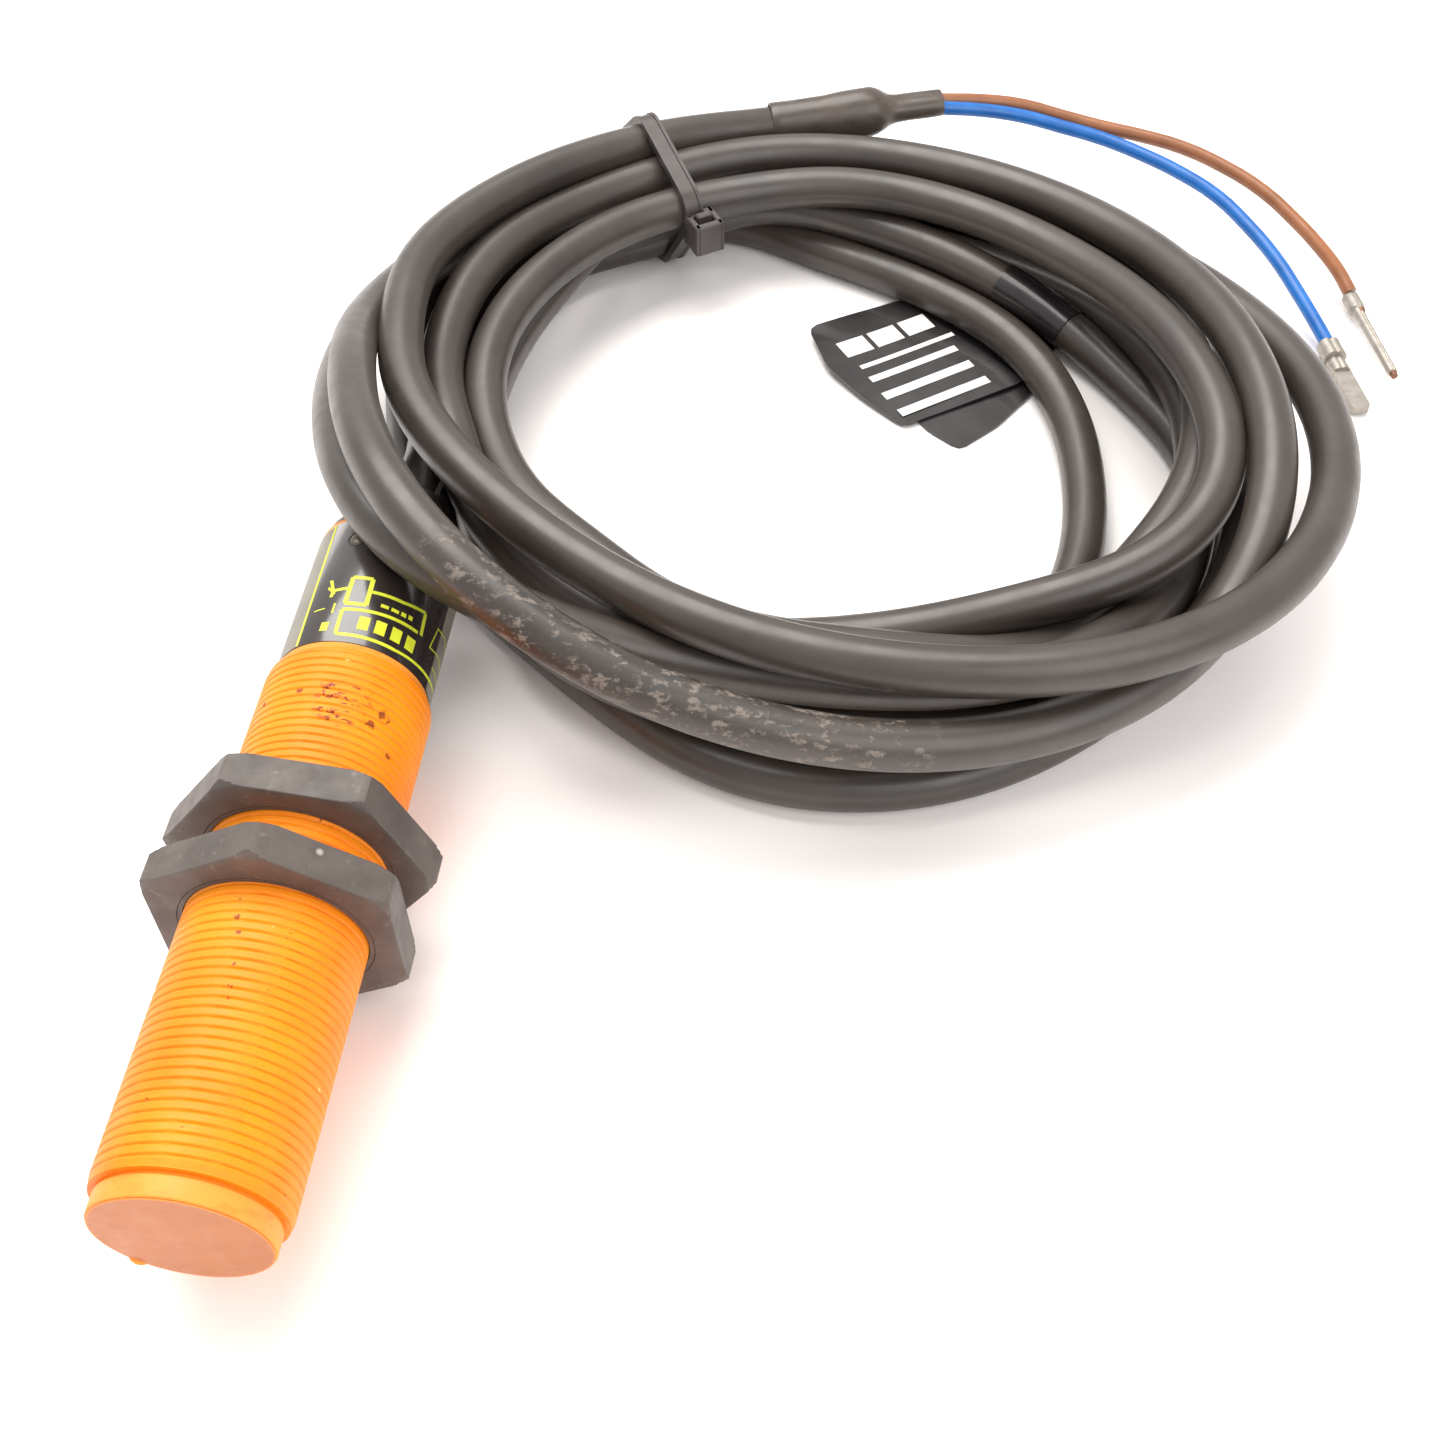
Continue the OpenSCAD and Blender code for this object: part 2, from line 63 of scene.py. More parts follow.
# the coil's turns: compass angle from +Y towards +X, radius and height, in mm
COIL_AT = np.array([50.0, 74.8])
TURNS = [
    [(257, 51.5, 12), (270, 53.5, 8.2), (285, 57.5, 4.6), (300, 61.3, 2.8), (315, 63, 2.8), (330, 57.2, 2.8),
     (345, 52.2, 2.8)],
    [(0, 46, 2.8), (30, 37.5, 2.8), (60, 33.3, 2.8), (90, 31.5, 2.8), (120, 35.1, 2.8), (150, 41.2, 2.8),
     (180, 44, 2.8), (225, 43.8, 2.8), (245, 46.5, 2.8), (270, 50.5, 2.8), (285, 53.6, 2.8), (300, 56.6, 2.8),
     (315, 58.6, 2.8), (324, 56.4, 4.2), (332, 53.2, 6.8), (345, 50.9, 8)],
    [(0, 46.6, 7.1), (30, 41, 6.3), (45, 42.4, 4.4), (75, 46, 2.8), (90, 46.8, 2.8), (120, 50, 2.8),
     (150, 52.1, 2.8), (170, 53.8, 2.8), (190, 53.4, 2.8), (210, 49.5, 2.8), (225, 49.5, 2.8), (245, 52.5, 2.8),
     (270, 57.5, 2.8), (285, 62.5, 2.8), (300, 67, 2.8), (315, 68.8, 2.8), (330, 64, 2.8), (345, 58.1, 2.8)],
    [(0, 52, 2.8), (30, 48.5, 3.2), (55, 46.6, 6.2), (75, 45.8, 8.3), (90, 45, 8.8), (120, 46.2, 9),
     (150, 50, 13.4), (165, 48.8, 14), (180, 47.2, 13.8), (195, 50, 15.5), (210, 56.3, 20.5), (225, 62.6, 24.9),
     (232, 63, 25.4), (240, 62.9, 24.4), (255, 62.4, 20.2), (270, 63.4, 15.4), (285, 65, 11), (300, 66.5, 8.6),
     (315, 68.5, 8.4), (330, 68, 7.6), (345, 63.8, 3.6)],
    [(0, 57.8, 2.8), (30, 54.6, 2.8), (60, 52.4, 5.6), (90, 51, 9.5), (120, 53, 9), (150, 52.4, 8.2),
     (180, 49.8, 8.3), (210, 51, 8.3), (240, 48.5, 8.1), (270, 46.8, 8.3), (285, 47.3, 8.4), (300, 48.9, 8.3),
     (312, 51.6, 8.3), (322, 55.6, 8.3), (333, 58, 8.2), (345, 57.2, 8)],
    [(0, 54.5, 7.6), (25, 52, 8.8), (45, 49.5, 10.4), (70, 46.5, 12.6), (90, 45, 13.6), (120, 44.6, 11.4),
     (135, 42.6, 8.9), (150, 44.4, 11), (165, 43.8, 12.8), (180, 43, 13.6), (195, 43.2, 13.7), (210, 43, 13.8),
     (225, 43.4, 13.8), (240, 44.2, 13.8), (255, 45.4, 13.8), (270, 46.2, 13.9), (285, 46.7, 13.9), (300, 47, 13.7),
     (312, 47.4, 13.2), (325, 47.8, 12.7), (340, 47.3, 12.3)],
    [(0, 47.6, 12), (15, 46.4, 12.3), (30, 44.2, 13.2), (45, 41.8, 14.8), (60, 41.2, 16.8), (75, 41.5, 18.6),
     (90, 43.6, 19.5), (105, 47.1, 19.3), (120, 47.7, 17), (135, 44, 14.5), (150, 39.6, 12), (165, 37.3, 10),
     (180, 37.5, 8.8), (200, 40, 8.2), (213, 44, 9.3), (227, 47.4, 13.8), (245, 50.2, 14.4), (262, 51, 15.4),
     (275, 51.5, 15.8), (290, 53.6, 15.8), (305, 54.3, 15), (320, 54.2, 13.9), (340, 55, 13.7)],
    [(0, 54.6, 13.2), (15, 53.1, 13.6), (30, 51.2, 14.8), (45, 49.4, 16.4), (60, 48.2, 18.4), (75, 48, 20.3),
     (90, 49.6, 21.2), (105, 52.3, 20.6), (120, 55.2, 17.8), (135, 57.2, 15), (150, 58, 14.6), (165, 58.5, 15.5),
     (180, 58.8, 17.5), (195, 59.8, 21), (210, 61.1, 25.8), (225, 62.1, 30.2), (240, 60.4, 29.6), (255, 59.4, 26),
     (270, 59.4, 20.6), (285, 61, 16), (300, 61.5, 12.4), (315, 62.4, 10.4), (330, 63, 9)],
    [(0, 60.4, 8), (30, 57, 9), (45, 55, 11), (60, 54.9, 13), (75, 56.7, 15), (90, 58.4, 17),
     (105, 59.9, 18.7), (120, 60.4, 20), (135, 59.5, 21), (150, 56.8, 21.3), (165, 53.4, 21.3), (180, 50.7, 21.2),
     (195, 49.4, 21.6), (210, 48.7, 22), (225, 49, 22.2), (240, 50.9, 22.3), (255, 54, 22.3), (270, 56.7, 21.8),
     (285, 58, 20.6), (300, 57.9, 19.2), (315, 57.8, 17.8), (330, 59.2, 16), (346.9, 62.4, 13.4)],
]


def smooth_line(points, step):
    """A Catmull-Rom curve (centripetal) through the points, resampled at an even step."""
    p = np.array(points, float)
    p = np.vstack([2 * p[0] - p[1], p, 2 * p[-1] - p[-2]])
    out = []
    for a, b, c, d in zip(p[:-3], p[1:-2], p[2:-1], p[3:]):
        t0, t1 = 0.0, np.linalg.norm(b - a) ** 0.5
        t2 = t1 + np.linalg.norm(c - b) ** 0.5
        t3 = t2 + np.linalg.norm(d - c) ** 0.5
        t = np.linspace(t1, t2, 24, endpoint=False)[:, None]
        a1 = (t1 - t) / (t1 - t0) * a + (t - t0) / (t1 - t0) * b
        a2 = (t2 - t) / (t2 - t1) * b + (t - t1) / (t2 - t1) * c
        a3 = (t3 - t) / (t3 - t2) * c + (t - t2) / (t3 - t2) * d
        b1 = (t2 - t) / (t2 - t0) * a1 + (t - t0) / (t2 - t0) * a2
        b2 = (t3 - t) / (t3 - t1) * a2 + (t - t1) / (t3 - t1) * a3
        out.extend((t2 - t) / (t2 - t1) * b1 + (t - t1) / (t2 - t1) * b2)
    out.append(p[-2])
    out = np.array(out)
    run = np.r_[0, np.cumsum(np.linalg.norm(np.diff(out, axis=0), axis=1))]
    n = max(2, int(round(run[-1] / step)))
    s = np.linspace(0, run[-1], n + 1)
    return np.stack([np.interp(s, run, out[:, i]) for i in range(3)], 1)


def settle(line, dia, fixed, rounds):
    """Pushes the turns apart to a diameter, off the floor, the boot and the sensor, and keeps the line smooth.

    Of two turns that meet, the lower one gives way more.
    """
    away, home_pull, smoothing, tightening = 1.2, 0.015, 0.35, 0.015
    p, home, n = line.copy(), line, len(line)
    step = np.linalg.norm(np.diff(line, axis=0), axis=1).mean()
    near = int(round(4 * dia / step))
    i, j = np.triu_indices(n, near)
    for _ in range(rounds):
        d = p[j] - p[i]
        far = np.linalg.norm(d, axis=1)
        hit = far < dia
        push = np.zeros_like(p)
        count = np.zeros(n)
        a, b = i[hit], j[hit]
        f = ((dia - far[hit]) / np.maximum(far[hit], 1e-6))[:, None] * d[hit]
        share = (p[a, 2] ** 2 / (p[a, 2] ** 2 + p[b, 2] ** 2))[:, None]
        np.add.at(push, a, -f * (1 - share))
        np.add.at(push, b, f * share)
        np.add.at(count, a, 1)
        np.add.at(count, b, 1)
        push /= np.maximum(count, 1)[:, None]
        p = p + push * away
        p = p + (home - p) * home_pull
        bend = np.zeros_like(p)
        bend[1:-1] = (p[:-2] + p[2:]) / 2 - p[1:-1]
        curve = bend[2:-2]
        bend[2:-2] = curve * smoothing - (bend[1:-3] + bend[3:-1]) * smoothing / 2 + curve * tightening
        p[2:-2] += bend[2:-2]
        p[:, 2] = np.maximum(p[:, 2], dia / 2)
        p[:fixed] = home[:fixed]
        p[-3:] = home[-3:]
        # the label, housing and boot: the cable lies on them
        ax = np.stack([p[:, 0], p[:, 2] - AXIS_Z], 1)
        rad = np.linalg.norm(ax, axis=1)
        for s0, s1, r in ((60, 82.6, 8.4), (82.6, 91.4, 4.4)):
            inside = (p[:, 1] > s0 - HALF_LEN - 2) & (p[:, 1] < s1 - HALF_LEN + 2) & (rad < r + dia / 2)
            inside[:fixed] = False
            g = ((r + dia / 2) / np.maximum(rad[inside], 1e-6))[:, None]
            p[inside, 0] = ax[inside, 0] * g[:, 0]
            p[inside, 2] = AXIS_Z + ax[inside, 1] * g[:, 0]
    return p


def at_turn(angle, r, z):
    w = math.radians(angle)
    return (COIL_AT[0] + r * math.sin(w), COIL_AT[1] + r * math.cos(w), z)


LEAD_IN = [(0, 37.85, AXIS_Z), (0, 43.0, AXIS_Z), (0, 49.85, AXIS_Z), (0, 53.5, 13.75), (0, 56.5, 13.3)]
LINE_STEP = 4.0
FIXED_POINTS, ROUNDS = 6, 400
rough_line = smooth_line(LEAD_IN + [at_turn(*stop) for turn in TURNS for stop in turn], LINE_STEP)
cable_line = settle(rough_line, CABLE_D + 0.05, FIXED_POINTS, ROUNDS)
BLUE_ROUTE = [
    (60.4, 141.4, 14.4), (67, 143, 13.45), (73, 143.4, 12.6), (79, 142.6, 11.7), (85, 141.4, 10.9),
    (91, 138.7, 10.3), (97, 135.1, 9.6), (102, 131.4, 8.6), (106, 126.8, 7.4), (109.9, 121, 6),
    (113, 115, 4.4), (115.3, 110.4, 3), (116.75, 107.4, 2),
]
BROWN_ROUTE = [
    (60.4, 143.4, 14.5), (67, 144.9, 13.9), (73, 145.4, 13.2), (79, 144.6, 12.25), (85, 143.4, 11.6),
    (91, 142.2, 11.2), (97, 140.4, 10.75), (103, 137.4, 9.9), (108.8, 133.3, 8.7), (113.2, 128.9, 7.2),
    (116.9, 124.6, 5.6), (119.6, 121.4, 3.9), (121.2, 118.4, 2.6),
]


# ---- mesh helpers ----


def finish_piece(obj, body, material, node=(), smooth=40):
    """Gives the piece its material and body, and hides the CAD nodes that it stands for."""
    scene.collection.objects.link(obj)
    obj.data.materials.append(material)
    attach(obj, body)
    if node:
        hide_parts(*([node] if isinstance(node, str) else node))
    if obj.type == "MESH" and smooth:
        with bpy.context.temp_override(object=obj, active_object=obj, selected_editable_objects=[obj]):
            obj.data.shade_smooth()
            obj.data.set_sharp_from_angle(angle=math.radians(smooth))
    return obj


def mesh_object(name, points, faces):
    """A mesh object from points in mm."""
    mesh = bpy.data.meshes.new(name)
    mesh.from_pydata([tuple(c * MM for c in p) for p in points], [], faces)
    mesh.validate()
    mesh.update()
    return bpy.data.objects.new(name, mesh)


def grid_faces(rows, cols, close_rows=False, close_cols=True, start=0):
    """Quads between the rows of a grid of points, wound so that they face outwards on a turned piece."""
    faces = []
    for i in range(rows if close_rows else rows - 1):
        n = (i + 1) % rows
        for k in range(cols if close_cols else cols - 1):
            m = (k + 1) % cols
            faces.append((start + i * cols + k, start + i * cols + m, start + n * cols + m, start + n * cols + k))
    return faces


def end_caps(rows, cols):
    """The two faces that close a grid of rings."""
    return [tuple(range(cols - 1, -1, -1)), tuple(range((rows - 1) * cols, rows * cols))]


def strip_faces(n):
    """The faces of a thin strip: two sheets of two rows of n points, closed round the edge."""
    faces = grid_faces(2, n, close_cols=False) + grid_faces(2, n, close_cols=False, start=2 * n)
    for row in (0, 1):
        faces += [(row * n + k, row * n + k + 1, (row + 2) * n + k + 1, (row + 2) * n + k) for k in range(n - 1)]
    return faces + [(0, n, 3 * n, 2 * n), (n - 1, 2 * n - 1, 4 * n - 1, 3 * n - 1)]


def round_angles(n):
    return [2 * math.pi * k / n for k in range(n)]


def on_axis(r, s, turn):
    """A point round the barrel: turn is the angle from up towards +X."""
    return (r * math.sin(turn), s - HALF_LEN, AXIS_Z + r * math.cos(turn))


def turned(name, profile, segments=96, closed=False, place=None, shape=None):
    """Revolves a profile of (radius, along) points. place turns (radius, along, angle) into a point."""
    place = place or on_axis
    points = []
    for r, s in profile:
        for a in round_angles(segments):
            points.append(place(max(shape(r, s, a) if shape else r, 0.0), s, a))
    faces = grid_faces(len(profile), segments, close_rows=closed)
    return solid(name, points, faces if closed else faces + end_caps(len(profile), segments))


def solid(name, points, faces):
    """A mesh object whose faces all look outwards, whichever way they were wound."""
    obj = mesh_object(name, points, faces)
    bm = bmesh.new()
    bm.from_mesh(obj.data)
    bmesh.ops.remove_doubles(bm, verts=bm.verts, dist=1e-7)
    bmesh.ops.recalc_face_normals(bm, faces=bm.faces)
    bm.to_mesh(obj.data)
    bm.free()
    return obj


def rounded(corners, radius, steps=4):
    """A profile whose inner corners are rounded by arcs: corners are (r, s) points."""
    out = [corners[0]]
    for a, b, c in zip(corners[:-2], corners[1:-1], corners[2:]):
        va, vc = np.array(a, float) - b, np.array(c, float) - b
        la, lc = np.linalg.norm(va), np.linalg.norm(vc)
        cut = min(radius, la * 0.45, lc * 0.45)
        p, q = np.array(b) + va / la * cut, np.array(b) + vc / lc * cut
        for k in range(steps + 1):
            t = k / steps
            out.append(tuple((1 - t) ** 2 * p + 2 * t * (1 - t) * np.array(b) + t**2 * q))
    out.append(corners[-1])
    return out


def gather(name, parts):
    """One mesh object from several (points, faces) parts."""
    points, faces = [], []
    for p, f in parts:
        base = len(points)
        points += p
        faces += [tuple(base + i for i in face) for face in f]
    return solid(name, points, faces)


def cord_curve(name, line, dia):
    """A round cord: one open smooth spline along the line, in mm."""
    curve = bpy.data.curves.new(name, "CURVE")
    curve.dimensions = "3D"
    spline = curve.splines.new("BEZIER")
    spline.bezier_points.add(len(line) - 1)
    for point, at in zip(spline.bezier_points, line):
        point.co = [c * MM for c in at]
        point.handle_left_type = point.handle_right_type = "AUTO"
    spline.resolution_u = 3
    curve.bevel_depth = dia / 2 * MM
    curve.bevel_resolution = 7
    curve.use_fill_caps = True
    return bpy.data.objects.new(name, curve)


# ---- materials ----


def linear(r, g, b):
    """A colour from its 0 to 255 screen values."""
    return tuple(((c / 255 + 0.055) / 1.055) ** 2.4 if c > 10 else c / 255 / 12.92 for c in (r, g, b)) + (1.0,)


class Finish:
    """A node material round one Principled shader, with its patterns in the object's own metres."""

    def __init__(self, name, rough=0.5, **sockets):
        self.mat = bpy.data.materials.new(name)
        self.mat.use_nodes = True
        self.tree = self.mat.node_tree
        self.shader = self.tree.nodes["Principled BSDF"]
        self.set("Roughness", rough)
        for key, value in sockets.items():
            self.set(key.replace("_", " "), value)
        self.where = self.tree.nodes.new("ShaderNodeTexCoord").outputs["Object"]

    def set(self, name, value):
        """Sets a shader socket to a number, or links a pattern to it."""
        if isinstance(value, bpy.types.NodeSocket):
            self.tree.links.new(value, self.shader.inputs[name])
        else:
            self.shader.inputs[name].default_value = value

    def node(self, kind, inputs, **props):
        made = self.tree.nodes.new(kind)
        for key, value in props.items():
            setattr(made, key, value)
        for key, value in inputs.items():
            if isinstance(value, bpy.types.NodeSocket):
                self.tree.links.new(value, made.inputs[key])
            else:
                made.inputs[key].default_value = value
        return made

    def noise(self, scale, detail=4, rough=0.55, stretch=None):
        where = self.where
        if stretch:
            where = self.node("ShaderNodeMapping", {"Vector": where, "Scale": stretch}).outputs["Vector"]
        made = self.node("ShaderNodeTexNoise", {"Vector": where, "Scale": scale, "Detail": detail, "Roughness": rough})
        return made.outputs["Fac"]

    def ramp(self, fac, *stops):
        made = self.node("ShaderNodeValToRGB", {"Fac": fac})
        line = made.color_ramp
        while len(line.elements) < len(stops):
            line.elements.new(0.5)
        for element, (at, colour) in zip(line.elements, stops):
            element.position = at
            element.color = colour
        return made.outputs["Color"]

    def span(self, value, low, high, to_low=0.0, to_high=1.0):
        ins = {"Value": value, "From Min": low, "From Max": high, "To Min": to_low, "To Max": to_high}
        return self.node("ShaderNodeMapRange", ins, clamp=True).outputs["Result"]

    def math(self, op, a, b=0.0):
        return self.node("ShaderNodeMath", {0: a, 1: b}, operation=op).outputs[0]

    def mix(self, fac, a, b):
        return self.node("ShaderNodeMix", {0: fac, 6: a, 7: b}, data_type="RGBA").outputs[2]

    def axes(self):
        return self.node("ShaderNodeSeparateXYZ", {0: self.where}).outputs

    def round_axis(self):
        """Distance from the barrel's axis, in metres."""
        x, _, z = self.axes()
        up = self.math("SUBTRACT", z, AXIS_Z * MM)
        return self.math("SQRT", self.math("ADD", self.math("MULTIPLY", x, x), self.math("MULTIPLY", up, up)))

    def near(self, point, reach, soft):
        """1 near a point, given in mm, falling to 0 beyond reach."""
        spot = tuple(c * MM for c in point)
        made = self.node("ShaderNodeVectorMath", {0: self.where, 1: spot}, operation="DISTANCE")
        return self.span(made.outputs["Value"], (reach + soft) * MM, reach * MM)

    def bump(self, height, strength=0.3, depth=0.1):
        made = self.node("ShaderNodeBump", {"Height": height, "Strength": strength, "Distance": depth * MM})
        self.tree.links.new(made.outputs["Normal"], self.shader.inputs["Normal"])


def simple_finish(name, colour, rough, grain=900, spread=0.12, depth=0.03, **sockets):
    """A moulded or metal finish: cloudy colour, uneven gloss and a fine grain."""
    f = Finish(name, rough, **sockets)
    dark = tuple(c * (1 - spread) for c in colour[:3]) + (1,)
    light = tuple(min(1.0, c * (1 + spread)) for c in colour[:3]) + (1,)
    f.set("Base Color", f.ramp(f.noise(grain / 4, 5), (0.3, dark), (0.7, light)))
    f.set("Roughness", f.span(f.noise(grain / 2, 3), 0.3, 0.7, rough * 0.85, min(1.0, rough * 1.2)))
    f.bump(f.noise(grain * 2, 3), 0.25, depth)
    return f.mat


def housing_finish():
    f = Finish("orange_plastic", 0.4, Subsurface_Weight=0.12, Subsurface_Radius=(0.002, 0.0008, 0.0002))
    f.set("Subsurface Scale", 0.6)
    body = f.ramp(f.noise(90, 5), (0.3, linear(242, 127, 12)), (0.7, linear(249, 148, 21)))
    y = f.axes()[1]
    # painted highlight: the smooth bands in front of and behind the thread are lightened
    collar_highlight = f.math("ADD", f.span(y, -0.03885, -0.03915), f.span(y, 0.0190, 0.0194))
    body = f.mix(f.math("MULTIPLY", collar_highlight, 0.3), body, linear(252, 186, 104))
    # painted shade: the thread's grooves are darkened unevenly, where shade falls between the crests
    deep = f.span(f.round_axis(), 0.00897, 0.00892)
    painted_groove_shade = f.math("MULTIPLY", deep, f.span(f.noise(260, 6, 0.7, (1, 2, 1)), 0.52, 0.66, 0.04, 0.36))
    body = f.mix(painted_groove_shade, body, linear(196, 96, 18))
    fleck = f.span(f.noise(420, 3, 0.75, (1, 1.8, 1)), 0.715, 0.75)
    body = f.mix(f.math("MULTIPLY", fleck, 0.8), body, linear(110, 52, 24))
    scuff = f.math("MULTIPLY", f.near((2.5, 12.0, 22.6), 2.4, 1.2), f.span(f.noise(900, 4, 0.7, (1, 2, 1)), 0.56, 0.60))
    body = f.mix(scuff, body, linear(128, 48, 28))
    ragged = f.span(f.noise(1300, 4, 0.7), 0.44, 0.5)
    marks = None
    for spot, size in (
        ((-1, -12.6, 22.8), 0.16), ((-0.8, -14.4, 22.8), 0.22), ((-0.2, -16, 22.8), 0.2), ((0.3, -19.3, 22.8), 0.14),
        ((0.6, -21.6, 22.8), 0.18), ((0.8, -22.7, 22.8), 0.14),
        ((6.4, 12.2, 20.2), 0.7), ((5.4, 10.4, 21), 0.5), ((7.4, 8.2, 18.9), 0.3), ((-8.4, 16.9, 17.1), 0.4),
        ((-2.2, 12.9, 22.6), 0.3), ((-6.2, 12.5, 20.2), 0.3), ((1.5, 9.5, 22.7), 0.25), ((3.6, -2.4, 22.1), 0.25),
    ):
        mark = f.near(spot, size, 0.14)
        marks = f.math("MAXIMUM", marks, mark) if marks else mark
    body = f.mix(f.math("MULTIPLY", f.math("MULTIPLY", marks, ragged), 0.85), body, linear(120, 52, 24))
    chip = f.span(f.noise(300, 2, 0.5, (1, 2.5, 1)), 0.74, 0.76)
    body = f.mix(chip, body, linear(255, 222, 150))
    f.set("Base Color", body)
    f.set("Roughness", f.span(f.noise(300, 4), 0.3, 0.7, 0.4, 0.55))
    f.set("Specular IOR Level", 0.3)
    f.bump(f.noise(1500, 4), 0.25, 0.05)
    return f.mat


def nut_finish(name, dimple=None):
    f = Finish(name, 0.5)
    base = f.ramp(f.noise(160, 6), (0.3, linear(72, 65, 61)), (0.7, linear(98, 89, 84)))
    rub = f.span(f.noise(700, 5, 0.7), 0.60, 0.72, 0, 0.35)
    base = f.mix(rub, base, linear(150, 139, 131))
    height = f.noise(2600, 3)
    if dimple:
        # the dent is painted: a darker ring of painted shade round it and a painted highlight at its middle, over a
        # shallow bump
        base = f.mix(f.math("MULTIPLY", f.near(dimple, 0.6, 0.8), 0.5), base, linear(70, 62, 58))
        base = f.mix(f.math("MULTIPLY", f.near(dimple, 0.15, 0.3), 0.6), base, linear(196, 188, 180))
        height = f.math("SUBTRACT", height, f.near(dimple, 0.4, 0.8))
    f.set("Base Color", base)
    f.set("Roughness", f.span(f.noise(500, 4), 0.3, 0.7, 0.44, 0.62))
    f.bump(height, 0.3, 0.05)
    return f.mat


def face_finish():
    f = Finish("salmon_plastic", 0.5, Subsurface_Weight=0.1, Subsurface_Radius=(0.002, 0.001, 0.0006))
    base = f.ramp(f.noise(220, 5), (0.3, linear(186, 112, 69)), (0.7, linear(195, 123, 78)))
    base = f.mix(f.span(f.round_axis(), 0.0079, 0.0081), base, linear(240, 140, 60))
    speck = f.span(f.noise(800, 3, 0.7), 0.71, 0.74)
    f.set("Base Color", f.mix(f.math("MULTIPLY", speck, 0.5), base, linear(140, 78, 52)))
    f.set("Roughness", f.span(f.noise(600, 4), 0.3, 0.7, 0.42, 0.6))
    f.bump(f.noise(1800, 4), 0.25, 0.04)
    return f.mat


def cable_finish():
    f = Finish("cable_pvc", 0.34, Coat_Weight=0.25, Coat_Roughness=0.25)
    base = f.ramp(f.noise(70, 6), (0.3, linear(48, 42, 38)), (0.7, linear(66, 58, 52)))
    worn = f.near((57.5, 17, 17), 3.5, 2.5)
    for spot in ((50, 16, 18), (42.5, 16, 19.5), (35, 17, 21), (28, 18.5, 23), (20.5, 21.5, 26), (13, 25.5, 28.5)):
        worn = f.math("MAXIMUM", worn, f.near(spot, 3.6, 2.4))
    patch = f.math("MULTIPLY", worn, f.span(f.noise(520, 7, 0.72, (1.0, 1.6, 1.6)), 0.53, 0.6))
    light = f.math("MULTIPLY", f.span(f.noise(230, 7, 0.7), 0.66, 0.78), 0.14)
    base = f.mix(f.math("MAXIMUM", f.math("MULTIPLY", patch, 0.8), light), base, linear(128, 117, 108))
    f.set("Base Color", base)
    f.set("Specular IOR Level", 0.6)
    gloss = f.span(f.noise(300, 5), 0.3, 0.7, 0.36, 0.5)
    f.set("Roughness", f.math("ADD", gloss, f.math("MULTIPLY", patch, 0.25)))
    f.bump(f.math("ADD", f.noise(700, 5), f.math("MULTIPLY", patch, 2.0)), 0.35, 0.07)
    return f.mat


def wire_finish(name, colour, dark):
    f = Finish(name, 0.35, Coat_Weight=0.1)
    f.set("Base Color", f.ramp(f.noise(260, 5), (0.3, dark), (0.7, colour)))
    f.set("Roughness", f.span(f.noise(500, 4), 0.3, 0.7, 0.3, 0.45))
    f.bump(f.noise(1600, 3), 0.2, 0.04)
    return f.mat


def metal_finish(name, colour):
    f = Finish(name, 0.32, Metallic=0.75)
    dark = tuple(c * 0.78 for c in colour[:3]) + (1,)
    f.set("Base Color", f.ramp(f.noise(700, 5, 0.6), (0.32, dark), (0.6, colour)))
    f.set("Roughness", f.span(f.noise(1200, 4), 0.3, 0.7, 0.45, 0.65))
    f.bump(f.noise(2400, 4), 0.35, 0.05)
    return f.mat


ORANGE = housing_finish()
CABLE = cable_finish()
NUT_FRONT = nut_finish("nut_plastic_front", (5.5, -7.75, 24.5))
NUT_REAR = nut_finish("nut_plastic_rear")
LABEL = simple_finish("label_film", linear(44, 38, 36), 0.25, 600, 0.15, 0.012, Coat_Weight=1.0, Coat_Roughness=0.12)
PRINT = simple_finish("label_print", linear(206, 214, 52), 0.45, 2400, 0.12, 0.01)
# painted reflection: the light grey of the label's grazing sides
LABEL_GLARE = simple_finish("label_painted_glare", linear(128, 124, 114), 0.5, 900, 0.2, 0.01)
CAP = simple_finish("dark_cap_plastic", linear(58, 50, 48), 0.45, 1200, 0.15)
BOOT = simple_finish("boot_pvc", linear(50, 44, 43), 0.42, 1200, 0.15)
LENS = simple_finish("lens_plastic", linear(132, 124, 104), 0.2, 1500, 0.1, 0.01, Transmission_Weight=0.5, IOR=1.49)
SLEEVE = simple_finish("shrink_tube", linear(76, 67, 61), 0.32, 900, 0.2, 0.05)
TIE = simple_finish("tie_nylon", linear(66, 60, 58), 0.38, 1400, 0.15, 0.03)
TAG = simple_finish("tag_film", linear(34, 31, 32), 0.3, 500, 0.2, 0.02, Coat_Weight=0.3)
TAG_INK = simple_finish("tag_ink", linear(214, 212, 210), 0.5, 2600, 0.15, 0.01)
BLUE = wire_finish("blue_insulation", linear(28, 110, 190), linear(20, 90, 165))
BROWN = wire_finish("brown_insulation", linear(156, 100, 64), linear(132, 82, 50))
TINNED = metal_finish("tinned_brass", linear(172, 166, 157))
BARE_COPPER = metal_finish("bare_copper", linear(136, 98, 80))

# ---- the cords ----

cable = cord_curve("cable", cable_line, CABLE_D)
finish_piece(cable, "barrel", CABLE, ("cable_lead_in", "cable_coil"))
blue = cord_curve("blue_core", BLUE_ROUTE, WIRE_D)
finish_piece(blue, "barrel", BLUE, "blue_wire")
brown = cord_curve("brown_core", BROWN_ROUTE, WIRE_D)
finish_piece(brown, "barrel", BROWN, "brown_wire")

# ---- threaded housing ----

THREAD_R, ROOT_R, PITCH = 9.0, 8.81, 1.0
THREAD_FROM, THREAD_TO = 2.45, 60.2


